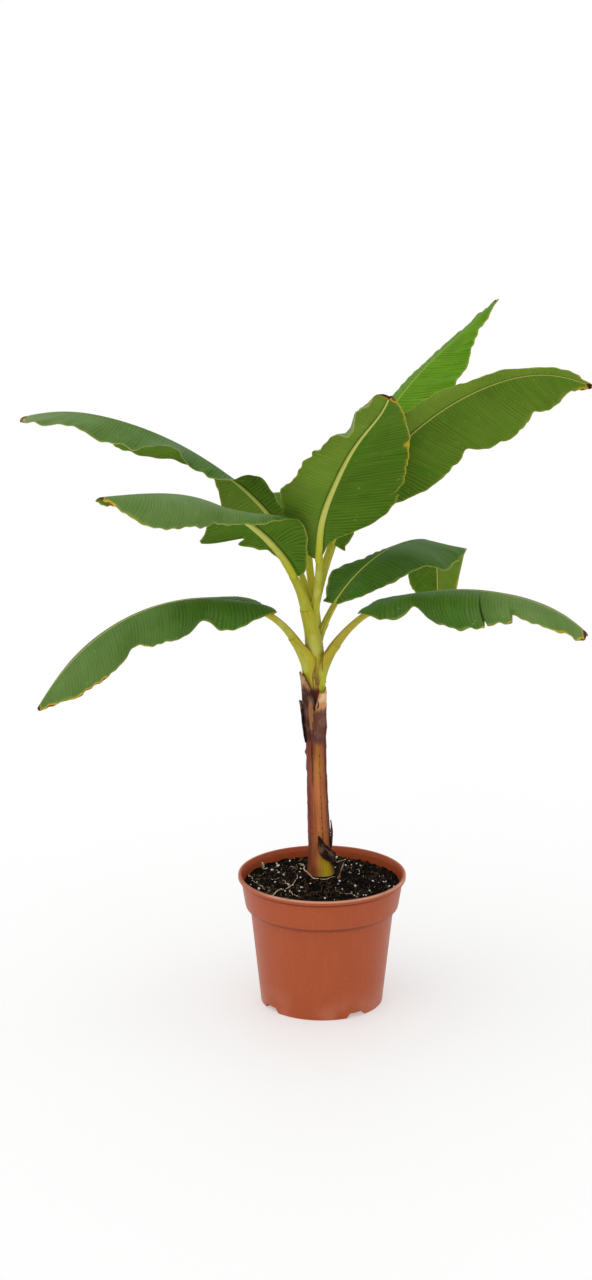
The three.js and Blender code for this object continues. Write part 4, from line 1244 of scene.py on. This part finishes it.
class BuildPot(bpy.types.Operator):
    """Turn the pot, with its rolled rim, band, foot notches and drain holes"""
    bl_idname = "banana_plant.pot"
    bl_label = "Pot"

    def execute(self, context):
        sizes = context.scene.banana_plant.pot
        line = pot_profile(sizes)
        spots = np.stack([line[:, 0], 0 * line[:, 0], line[:, 1]], -1)
        base = polylines("pot_line", [{"centre": spots, "out": line[:, 0], "height": line[:, 1]}])
        pot = grown("pot_shell", base, pot_tree(), {
            "Sides": 192, "Foot Radius": sizes.foot, "Material": pot_finish(sizes)}, 40)
        seat(pot, "pot_plastic", "pot")
        return {"FINISHED"}


class BuildSoil(bpy.types.Operator):
    """Fill the pot with peat and strew crumbs and white grains over it"""
    bl_idname = "banana_plant.soil"
    bl_label = "Soil"

    def execute(self, context):
        plant = context.scene.banana_plant
        sizes, pot = plant.soil, plant.pot
        share = (sizes.level - pot.band_z) / (pot.height - pot.band_z)
        edge = mix(pot.band_low, pot.band_top, share) - pot.wall - 0.0003
        f = np.linspace(0, 1, 56)[:, None]
        turn = np.linspace(0, 2 * math.pi, 180, endpoint=False)[None]
        x = edge * (1 - f) * np.cos(turn)
        y = edge * (1 - f) * np.sin(turn)
        top = np.stack([x, y, soil_height(x, y, sizes.level)], -1)
        walls = [(pot.foot - 0.0045, 0.0112), (pot.foot - 0.0034, 0.0135),
                 (pot.ledge - pot.wall - 0.0006, pot.band_z - 0.010),
                 (pot.band_low - pot.wall - 0.0005, pot.band_z)]
        rings = [spoke(turn[0]) * r + np.array([0, 0, h]) for r, h in walls]
        rings = [rings[0] * np.array([0, 0, 1])] + rings + list(top)
        soil = lofted("soil_bed", np.array(rings), soil_finish())
        seat(soil, "soil", "soil")
        for name, values, slot in self.litter(sizes):
            cover = self.cover(top[:-1])
            bits = grown(name, cover, scatter_tree(), values)
            seat(bits, slot)
        return {"FINISHED"}

    def litter(self, sizes):
        """Name, tree inputs and slot of each kind of loose bit."""
        peat = speck_finish("peat_crumb", 0x070402, 0x1B120B, 120.0, 0.85)
        bark = speck_finish("bark_crumb", 0x34251A, 0x6B523B, 120.0, 0.85)
        white = speck_finish("white_grain", 0xE4E1DA, 0xFCFBF8, 300.0, 0.7)
        return [
            ("soil_crumbs", {"Density": sizes.crumbs, "Size": sizes.crumb_size, "Spread": 0.6,
                             "Seed": sizes.seed, "Material": peat}, "soil"),
            ("soil_bark_bits", {"Density": sizes.crumbs * 0.06, "Size": sizes.crumb_size * 1.3,
                                "Spread": 0.6, "Flatness": 0.3, "Seed": sizes.seed + 1,
                                "Material": bark}, "soil"),
            ("soil_white_grains", {"Density": sizes.grains, "Size": sizes.grain_size,
                                   "Spread": 0.65, "Detail": 2, "Flatness": 0.8,
                                   "Seed": sizes.seed + 2, "Material": white}, "soil"),
        ]

    def cover(self, top):
        """The soil's top, open round the stem, as the faces that bits are strewn on."""
        quads = ring_faces(*top.shape[:2])
        middle = top.reshape(-1, 3)[quads].mean(1)
        away = from_stem(middle[:, 0], middle[:, 1])
        wall = np.hypot(middle[:, 0], middle[:, 1])
        quads = quads[(away > (BARE_ROUND_STEM + 0.5) * MM) & (wall < wall.max() - 0.001)]
        return linked("soil_cover", mesh_of("soil_cover", top, [], quads.tolist()))


def lofted(name, rings, material, marks=None):
    """A closed skin over rings of points; a ring with no width becomes a pole."""
    count, sides = rings.shape[:2]
    first = np.arange(sides)
    last = first + (count - 1) * sides
    faces = ring_faces(count, sides).tolist()
    for ring, end in ((rings[0], first[::-1]), (rings[-1], last)):
        if np.ptp(ring, axis=0).max() > 1e-6:
            faces.append(end.tolist())
    mesh = mesh_of(name, rings, [], faces)
    for key, values in (marks or {}).items():
        mark_mesh(mesh, key, np.ravel(values))
    sheet = bmesh.new()
    sheet.from_mesh(mesh)
    bmesh.ops.remove_doubles(sheet, verts=sheet.verts, dist=1e-6)
    bmesh.ops.dissolve_degenerate(sheet, edges=sheet.edges, dist=1e-7)
    sheet.to_mesh(mesh)
    sheet.free()
    mesh.materials.append(material)
    return piece_of(name, mesh)


class BuildRoots(bpy.types.Operator):
    """Lay pale roots and dead fibres on the soil"""
    bl_idname = "banana_plant.roots"
    bl_label = "Roots"

    def execute(self, context):
        level = context.scene.banana_plant.soil.level
        pale = speck_finish("pale_root", 0xB49A72, 0xF0E2C6, 260.0, 0.7)
        brown = speck_finish("dead_fibre", 0x3E2C1D, 0x7C6043, 260.0, 0.8)
        lines = []
        for k, (plan, thick, rise) in enumerate(ROOTS):
            f = np.linspace(0, 1, 40)
            x = smooth_list([p[0] for p in plan], f) * MM + ripple(f, 0.22, 60 + k) * 0.0011
            y = smooth_list([p[1] for p in plan], f) * MM + ripple(f, 0.22, 90 + k) * 0.0011
            lift = np.abs(np.sin(f * math.pi * 2.5)) * rise * 0.5 + 0.3
            z = soil_height(x, y, level) + lift * MM * np.sin(np.pi * np.clip(f, 0.03, 0.97)) ** 0.5
            radius = thick * MM * 0.85 * (1 - 0.7 * f ** 2) * (1 + 0.2 * ripple(f, 0.15, 30 + k))
            lines.append(self.line(np.stack([x, y, z], -1), radius))
        roots = grown("surface_roots", polylines("root_lines", lines), sweep_tree(),
                      {"Sides": 8, "Skin": 0.4, "Skin Pitch": 0.002, "Material": pale})
        seat(roots, "soil")
        fibres = grown("soil_fibres", polylines("fibre_lines", self.fibres(level)), sweep_tree(),
                       {"Sides": 5, "Skin": 0.4, "Skin Pitch": 0.002, "Material": brown})
        seat(fibres, "soil")
        return {"FINISHED"}

    def fibres(self, level):
        """Short dead fibres strewn about the soil by a seeded rule."""
        dice = np.random.default_rng(41)
        lines = []
        while len(lines) < FIBRES:
            turn, away = dice.uniform(0, 6.283), 0.104 * math.sqrt(dice.uniform(0.02, 1))
            x, y = away * math.cos(turn), away * math.sin(turn)
            heading, long = dice.uniform(0, 6.283), dice.uniform(0.006, 0.022)
            f = np.linspace(0, 1, 9)
            bend = heading + f * dice.uniform(-2, 2)
            px = x + np.cumsum(np.cos(bend)) * long / 9
            py = y + np.cumsum(np.sin(bend)) * long / 9
            inside = np.hypot(px, py).max() < 0.107
            if inside and from_stem(px, py).min() > BARE_ROUND_STEM * MM:
                pz = soil_height(px, py, level) + 0.0006 + np.sin(f * 3.14) * dice.uniform(0, 0.003)
                radius = 0 * f + dice.uniform(0.00018, 0.0004)
                lines.append(self.line(np.stack([px, py, pz], -1), radius))
        return lines

    def line(self, points, radius):
        """Points with the numbers that the sweep reads."""
        ahead = unit(np.gradient(points, axis=0))
        side = unit(np.cross(ahead, [0.03, 0.02, 1.0]))
        return {"centre": points, "girth": radius, "groove": 0 * radius, "side": side,
                "up": np.cross(ahead, side)}


class BuildStem(bpy.types.Operator):
    """Raise the stem of rolled sheaths, with their edges, fibres and old scars"""
    bl_idname = "banana_plant.stem"
    bl_label = "Stem"

    def execute(self, context):
        sizes = context.scene.banana_plant.stem
        sunk = 4
        up = np.linspace(0, 1, STEM_RINGS)
        z = (STEM_LOW - sunk + (STEM_HIGH - STEM_LOW + sunk) * up) * MM
        turn = np.linspace(-math.pi, math.pi, STEM_SIDES, endpoint=False)[None] + 0 * z[:, None]
        high = z[:, None] / MM
        lobe = 0.03 * np.sin(3 * turn + high / 60)
        radius = stem_radius(z)[:, None] * (1 + lobe)
        for first, lean in STEM_EDGES:
            edge = np.radians(first) + (high - EDGE_HEIGHT) * np.radians(lean)
            beyond = np.mod(turn - edge, 2 * math.pi) / (2 * math.pi)
            radius = radius + sizes.step * (beyond - 0.5) * 0.8 * ease(high, 186, 200)
        fibre = ripple(turn, 0.09, 5, high / 90) * 0.6 + ripple(turn, 0.035, 6, high / 60) * 0.4
        radius = radius + sizes.relief * fibre + 0.0004 * ripple(high, 38, 8, turn)
        for scar in STEM_SCARS:
            radius = radius + 0.0005 * np.exp(-((high - scar - 5 * np.sin(turn + scar)) / 2) ** 2)
        knot = np.exp(-((high - KNOT_HEIGHT) / 5) ** 2 - ((turn - KNOT_TURN) / 0.25) ** 2)
        radius = radius + 0.0022 * knot
        rings = stem_centre(z)[:, None] + spoke(turn) * radius[..., None]
        stem = lofted("stem_sheaths", rings, stem_finish(sizes), self.marks(turn, high))
        seat(stem, "stem", "pseudostem")
        return {"FINISHED"}

    def marks(self, turn, high):
        """Where each colour of the stem lies, by turn about the stem and by height."""
        degrees = np.degrees(turn)

        def patch(middle, spread, low, top, soft=12):
            """1 at the middle turn between two heights, and soft at its edges."""
            away = np.mod(degrees - middle + 180, 360) - 180
            band = ease(high, low - soft, low + soft) * (1 - ease(high, top - soft, top + soft))
            return np.exp(-(away / spread) ** 2) * band

        wander = 6 * ripple(high, 60, 15, turn)
        # The tan patch at the front (turn -92) is partly tan sheath and partly a painted highlight
        # down the middle of the stem's front.
        tan = patch(-92, 30, 196, 360) + patch(-48, 26, 205, 380) * 0.35
        tan = tan + patch(60, 40, 190, 420) * 0.7
        olive = patch(-82, 20, 334, 392) + patch(-76, 7, 215, 370) * 0.25
        violet = patch(-70, 36, 384, 428, 4) + patch(150, 30, 250, 330) * 0.5
        # shade: painted shade down the stem's right edge and in the gaps between sheaths.
        shade = patch(-26, 16, 180, 450) * 0.9 + patch(-116, 6, 322, 390)
        shade = shade + patch(-120, 30, 396, 450) + patch(-94, 18, 434, 468, 5) * 0.75
        specks = patch(-66, 18, 240, 400) + 0.35
        seam = patch(-74, 4, 226, 372, 6) + patch(-113, 4, 340, 366, 4) * 0.8
        fresh = patch(-60, 34, 180, 214, 6)
        green = ease(high + wander * 0.5, 462, 474)
        return {"turn": turn, "tan": tan, "olive": olive, "violet": violet, "shade": shade,
                "specks": specks, "seam": seam, "fresh": fresh, "green": green}


class BuildSheaths(bpy.types.Operator):
    """Wrap the green sheaths round the head of the stem and hang the dry ones on it"""
    bl_idname = "banana_plant.sheaths"
    bl_label = "Sheaths"

    def execute(self, context):
        plant = context.scene.banana_plant
        green = clasp_finish(plant.leaf.stalk)
        for k, (name, (low, high, *shape, dry, fade)) in enumerate(CLASPS.items()):
            points, out, margin = self.clasp(LEAVES[name], low, high, *shape, k)
            brown = 1 - ease(np.linspace(low, high, len(points)), low + dry, low + dry + fade)
            marks = {"margin": margin, "across": np.linspace(-1, 1, points.shape[1])[None],
                     "along": np.linspace(0, 0.1, len(points))[:, None], "dry": brown[:, None]}
            piece = shell("sheath_" + name, points + out * 0.0004, points - out * 0.0005, marks,
                          [green])
            seat(piece, "petiole")
        tones = {name: flap_finish("dry_sheath_" + name, *colours) for name, colours in (
            ("red", (0x8F5A3E, 0xBC8C66, 0xCDA582, 0x3C1A15, 0xA87045, 0.046)),
            ("tan", (0xB87845, 0xE6AE76, 0xF4CFA0, 0x64332D, 0x33190F, 0.0455)),
            ("dark", (0x1C100C, 0x3B241B, 0x7A5B46, 0x24140F, 0x8A7260, 0.042)))}
        skin = plant.stem.skin / 2
        for k, (name, flap) in enumerate(FLAPS.items()):
            points, out, marks = (self.scroll if "girth" in flap else self.flap)(flap, k)
            piece = shell(name + "_skin", points + out * skin, points - out * skin, marks,
                          [tones[flap["tone"]]])
            seat(piece, "dry_sheath", *([] if "spare" in flap else [name]))
        return {"FINISHED"}

    def clasp(self, leaf, low, high, before, after, puff, order):
        """A sheath that hugs the stem low down and turns into the stalk's own skin."""
        course = course_of(leaf)
        z = np.linspace(low, high, 50) * MM
        z = np.minimum(z, course["point"][:, 2].max() - 1e-4)
        stop = int(np.argmax(course["point"][:, 2])) + 1
        u = np.interp(z, course["point"][:stop, 2], np.linspace(0, 1, COURSE_STEPS + 1)[:stop])
        at = course_at(course, u)
        foot = leaf["foot"][2] * MM
        share = np.linspace(0, 1, len(z))
        part = ease(z, foot - 0.004, z[-1])[:, None]
        stalk = stalk_radius(leaf, u * leaf["length"])[0] + 0.0003
        centre = mix(stem_centre(z), at["point"] - at["up"] * (RIB_DROP * stalk)[:, None], part)
        sunk = 2.2 * (1 - ease(share, 0, 0.14))
        puff = puff * ease(share, 0.1, 0.5) * (1 - ease(share, 0.62, 1))
        gap = (1.5 - 0.3 * order - sunk + puff) * MM
        radius = mix(stem_radius(z) + gap, stalk, part[:, 0])
        start = course_at(course, np.zeros(1))
        inward = unit(mix(start["up"] * np.array([1, 1, 0]), at["up"], part))
        side = unit(mix(start["side"], at["side"], part))
        ends = []
        for k, margin in enumerate((before, after)):
            uneven = 1 + 0.03 * ripple(z, 0.03, 70 + 2 * order + k)
            ends.append(np.radians(smooth_list(margin, share)) * uneven)
        f = np.linspace(0, 1, 53)[None]
        angle = mix(-ends[0][:, None], ends[1][:, None], f)
        out = side[:, None] * np.sin(angle)[..., None] - inward[:, None] * np.cos(angle)[..., None]
        points = centre[:, None] + out * radius[:, None, None]
        margin = np.minimum(f, 1 - f) * (ends[0] + ends[1])[:, None] * radius[:, None]
        return points, out, margin + 0.006 * ease(share, 0.86, 1)[:, None]

    def flap(self, flap, order):
        """A dry strip that stands off the stem, with rolled, ragged margins."""
        f = np.linspace(0, 1, 72)[:, None]
        x = np.linspace(-1, 1, 41)[None]
        half = np.radians(smooth_list(flap["half"], f))
        turn = np.radians(smooth_list(flap["turn"], f)) + x * half
        turn = turn + np.radians(1.6) * ripple(f, 0.12, 110 + order) * np.abs(x)
        tip = ripple(x, 0.35, 120 + order) * flap["torn"] + smooth_list(flap["crest"], x / 2 + 0.5)
        foot = 2 * ripple(x * 3, 0.5, 151)
        z = (smooth_list(flap["height"], f) + tip * f ** 3 + foot * (1 - f) ** 4) * MM
        rolled = np.abs(x) ** 3 * flap["roll"] * MM * (0.3 + 0.7 * f)
        stand = smooth_list(flap["stand"], f) * MM + rolled
        stand = stand + 0.0005 * ripple(x * 2 + f, 0.7, 130 + order)
        points = stem_centre(z) + spoke(turn) * (stem_radius(z) * 1.04 + 0.0009 + stand)[..., None]
        away = np.minimum((1 - np.abs(x)) * half * 0.017, (1 - f) * 0.05)
        at, up, wide, long, amount = flap["stripe"]
        spot = amount * np.exp(-((x - at) / wide) ** 2 - ((f - up) / long) ** 2)
        marks = {"margin": away, "across": x, "along": f * 0.06, "stripe": spot}
        return points, grid_normals(points), marks

    def scroll(self, flap, order):
        """A dry strip rolled into an open tube beside the stem."""
        f = np.linspace(0, 1, 72)
        z = smooth_list(flap["height"], f) * MM
        turn = np.radians(smooth_list(flap["turn"], f))
        girth = smooth_list(flap["girth"], f) * MM * (1 + 0.1 * ripple(f, 0.2, 140 + order))
        away = stem_radius(z) * 1.04 + (0.9 + smooth_list(flap["stand"], f)) * MM
        centre = stem_centre(z) + spoke(turn) * away[:, None]
        x = np.linspace(-1, 1, 41)[None]
        angle = math.radians(95) + x * math.radians(165) + 0.3 * ripple(f, 0.3, 141)[:, None]
        wide = girth[:, None] * (1 + flap["roll"] * 0.25 * x)
        points = centre[:, None] + spoke(angle) * wide[..., None]
        points[..., 2] += 0.0012 * ripple(x, 0.5, 142) * f[:, None] ** 4
        edge = np.minimum((1 - np.abs(x)) * girth[:, None] * 2.8, (1 - f)[:, None] * 0.05)
        marks = {"margin": edge + 0.001, "across": x, "along": f[:, None] * 0.06,
                 "stripe": np.exp(-((1 - f[:, None]) / 0.11) ** 2) + 0 * x}
        return points, grid_normals(points), marks


class BuildStalks(bpy.types.Operator):
    """Sweep the grooved leaf stalks along their courses"""
    bl_idname = "banana_plant.stalks"
    bl_label = "Leaf stalks"

    def execute(self, context):
        material = stalk_finish(context.scene.banana_plant.leaf.stalk)
        tree = sweep_tree()
        for k, (name, leaf) in enumerate(LEAVES.items()):
            along = np.linspace(0, leaf["petiole"] + 14, 64)
            at = course_at(course_of(leaf), along / leaf["length"])
            radius, swell = stalk_radius(leaf, along)
            inside = ease(along, leaf["petiole"] - 2, leaf["petiole"] + 14)
            radius = radius * (1 - 0.25 * inside)
            drop = at["up"] * ((RIB_DROP - 0.68 * (1 - swell)) * radius)[:, None]
            line = {"centre": at["point"] - drop, "girth": radius, "groove": 0.75 * (1 - swell),
                    "side": at["side"], "up": at["up"], "along": along * MM,
                    "blush": leaf.get("blush", 0.25) * ease(along, 10, 60),
                    "aged": leaf.get("aged", 0) * (1 - ease(along, 30, 42))}
            stalk = grown("stalk_" + name, polylines("stalk_line", [line]), tree, {
                "Sides": 40, "Skin": 0.05, "Skin Pitch": 0.006, "Material": material})
            seat(stalk, "petiole", "petiole_" + name)
        return {"FINISHED"}


class BuildBlades(bpy.types.Operator):
    """Unroll the leaf blades, pleated between their side veins, with dry and torn places"""
    bl_idname = "banana_plant.blades"
    bl_label = "Leaf blades"

    def execute(self, context):
        sizes = context.scene.banana_plant.leaf
        tones = sizes.rib, sizes.stalk
        old = [blade_finish("leaf_upper", sizes.upper, *tones, "upper"),
               blade_finish("leaf_under", sizes.under, *tones, "under")]
        young = [blade_finish("young_leaf", sizes.young, *tones, "young")]
        for k, (name, leaf) in enumerate(LEAVES.items()):
            materials, slot = (young, "young_leaf") if name == YOUNGEST else (old, "leaf")
            piece = self.blade(name, leaf, sizes, 200 + 17 * k, materials)
            seat(piece, slot, "leaf_" + name)
        return {"FINISHED"}

    def blade(self, name, leaf, sizes, seed, materials):
        """One blade from its base to its tip, with extra rings where it is torn."""
        even = np.linspace(0, 1, sizes.rings)
        s = mix(0.0005, 0.9985, mix(even, (1 - np.cos(np.pi * even)) / 2, 0.25))
        extra = [t[0] + d for half in ("left", "right") for t in leaf[half].get("tears", [])
                 for d in (-0.0045, -0.003, -0.0015, -0.0005, 0.0, 0.0005, 0.0015, 0.003)]
        s = np.unique(np.concatenate([s, extra]))
        start = leaf["petiole"] / leaf["length"]
        at = course_at(course_of(leaf), mix(start, 1, s))
        right, right_marks = half_blade(leaf, at, s, -1, sizes, seed)
        left, left_marks = half_blade(leaf, at, s, 1, sizes, seed)
        points = np.concatenate([right[:, :0:-1], left], axis=1)
        marks = {key: np.concatenate([right_marks[key][:, :0:-1], left_marks[key]], axis=1)
                 for key in left_marks}
        normal = grid_normals(points)
        reach = np.abs(marks["across"])
        pleat = np.sin(marks["along"] * 2 * math.pi / sizes.pitch
                       + 0.9 * ripple(marks["along"], 0.03, seed + 5))
        pleat = pleat * (0.6 + 0.4 * ripple(marks["along"], 0.04, seed + 6))
        calm = ease(reach, 0.08, 0.3) * (1 - 0.6 * ease(reach, 0.8, 1.0))
        points = points + normal * (pleat * calm * sizes.pleat)[..., None]
        rib = rib_radius(leaf, s)[:, None]
        off = marks["rib"]
        thick = sizes.thick / 2 * (1 - 0.65 * ease(reach, 0.9, 1.0))
        groove = 0.3 * rib * np.exp(-((off / 0.42) ** 2))
        groove = groove - 0.1 * rib * np.exp(-((off - 1) / 0.4) ** 2)
        keel = 1.5 * rib * np.sqrt(np.clip(1 - (off / 1.12) ** 2, 0, 1))
        keel = keel * (1 - ease(reach, 0.55, 0.95) * (off < 1.12))
        top = points + normal * (thick - groove)[..., None]
        under = points - normal * (thick + keel)[..., None]
        return shell("blade_" + name, top, under, marks, materials)


class BuildScraps(bpy.types.Operator):
    """Stand the torn leaf scrap in the soil by the stem"""
    bl_idname = "banana_plant.scraps"
    bl_label = "Scraps"

    def execute(self, context):
        tan = flap_finish("scrap_tan", 0x6B4526, 0xC0A078, 0xE2D2B4, 0xA8743F, 0x6B4526, 0.018)
        f = np.linspace(0, 1, 40)[:, None]
        x = np.linspace(-1, 1, 13)[None]
        level = context.scene.banana_plant.soil.level
        spine = np.concatenate([mix(0.021, 0.032, f), mix(-0.004, 0.010, f),
                                level + 0.001 + 0.027 * f ** 0.9], -1)[:, None]
        twist = 0.5 + 1.8 * f
        wide = 0.0042 * (1 - f ** 2.2) * (1 + 0.2 * ripple(f, 0.3, 150)) + 0.0004
        across = np.stack([np.cos(twist), np.sin(twist), 0.3 * np.sin(3 * f)], -1)
        fold = np.stack([0 * f, 0 * f + 1, 0 * f], -1) * (np.abs(x) ** 1.5 * 0.0022)[..., None]
        points = spine + across * (x * wide)[..., None] + fold
        normal = grid_normals(points)
        marks = {"margin": (1 - np.abs(x)) * wide, "across": x, "along": f * 0.03, "stripe": 0 * f}
        scrap = shell("leaf_scrap", points + normal * 0.0003, points - normal * 0.0003, marks,
                      [tan])
        seat(scrap, "dry_sheath")
        return {"FINISHED"}


class BuildStage(bpy.types.Operator):
    """Lay the floor and set the soft light and the camera"""
    bl_idname = "banana_plant.stage"
    bl_label = "Stage"

    def execute(self, context):
        sizes = context.scene.banana_plant.stage
        turn = np.linspace(0, 2 * math.pi, 96, endpoint=False)
        points = FLOOR_RADIUS * spoke(turn) - np.array([0, 0, 0.0002])
        mesh = mesh_of("floor", points, [], [list(range(len(turn)))])
        floor = linked("floor", mesh)

        def paint(board):
            cloud = board.noise(board.here(), 3.0, 2.0)
            return {"colour": board.blend(cloud, solid(sizes.floor, 0.985), solid(sizes.floor))}

        glow = {"Emission Color": (1.0, 1.0, 1.0, 1.0), "Emission Strength": sizes.glow}
        mesh.materials.append(finish_of("pale_floor", paint, rough=0.6, **glow))
        self.surround(sizes)
        self.lamp(sizes.sun)
        self.camera()
        return {"FINISHED"}

    def surround(self, sizes):
        """White surround that is brighter overhead."""
        world = bpy.data.worlds.new("white_surround")
        world.use_nodes = True
        board = Board(world.node_tree)
        seen = board.node("ShaderNodeTexCoord").outputs["Generated"]
        lift = board.get(board.node("ShaderNodeSeparateXYZ", None, {0: seen}), 2)
        bright = board.sum("MAXIMUM", lift, 0.0) * (sizes.high - sizes.low) + sizes.low
        back = world.node_tree.nodes["Background"]
        back.inputs[0].default_value = (1.0, 1.0, 1.0, 1.0)
        board.feed(back.inputs[1], bright)
        bpy.context.scene.world = world
        bpy.context.scene.view_settings.view_transform = "Standard"

    def lamp(self, power):
        """A wide soft light from above, in front and to the left."""
        data = bpy.data.lights.new("soft_light", "SUN")
        data.energy = power
        data.angle = math.radians(LAMP_WIDTH)
        linked("soft_light", data).matrix_world = facing(LAMP_SPOT, -np.array(LAMP_SPOT))

    def camera(self):
        """The camera that the photograph was taken with."""
        data = bpy.data.cameras.new("camera")
        data.sensor_fit = "AUTO"
        data.sensor_width = 36.0
        data.lens = FOCAL_LENGTH / PICTURE_HEIGHT * data.sensor_width
        eye = linked("camera", data)
        lean = math.radians(CAMERA_LEAN)
        eye.matrix_world = facing(CAMERA_SPOT, (0, math.cos(lean), -math.sin(lean)))
        bpy.context.scene.camera = eye


def facing(spot, aim):
    """The matrix of a lamp or camera at spot that looks along aim, upright."""
    back = -unit(np.array(aim, float))
    right = unit(np.cross([0, 0, 1], back))
    up = np.cross(back, right)
    rows = [[right[i], up[i], back[i], spot[i]] for i in range(3)] + [[0, 0, 0, 1]]
    return Matrix(rows)


class BananaPanel(bpy.types.Panel):
    """Sizes and steps of the potted banana plant"""
    bl_label = "Banana Plant"
    bl_idname = "VIEW3D_PT_banana_plant"
    bl_space_type = "VIEW_3D"
    bl_region_type = "UI"
    bl_category = "Banana Plant"

    def draw(self, context):
        plant = context.scene.banana_plant
        for operator in STEPS:
            self.layout.operator(operator.bl_idname)
        for group in (plant.pot, plant.soil, plant.stem, plant.leaf, plant.stage):
            box = self.layout.box()
            for key in group.__annotations__:
                box.prop(group, key)


STEPS = (BuildPot, BuildSoil, BuildRoots, BuildStem, BuildSheaths, BuildStalks, BuildBlades,
         BuildScraps, BuildStage)
GROUPS = (PotSizes, SoilSizes, StemSizes, LeafSizes, StageSizes, PlantSizes)


def register():
    """Registers the classes and gives each scene its sizes."""
    for kind in (*GROUPS, *STEPS, BananaPanel):
        bpy.utils.register_class(kind)
    bpy.types.Scene.banana_plant = PointerProperty(type=PlantSizes)


def unregister():
    """Takes back what register did."""
    del bpy.types.Scene.banana_plant
    for kind in reversed((*GROUPS, *STEPS, BananaPanel)):
        bpy.utils.unregister_class(kind)


def main():
    """Builds the plant and its stage."""
    register()
    for step in STEPS:
        group, name = step.bl_idname.split(".")
        getattr(getattr(bpy.ops, group), name)()


if __name__ == "__main__":
    main()
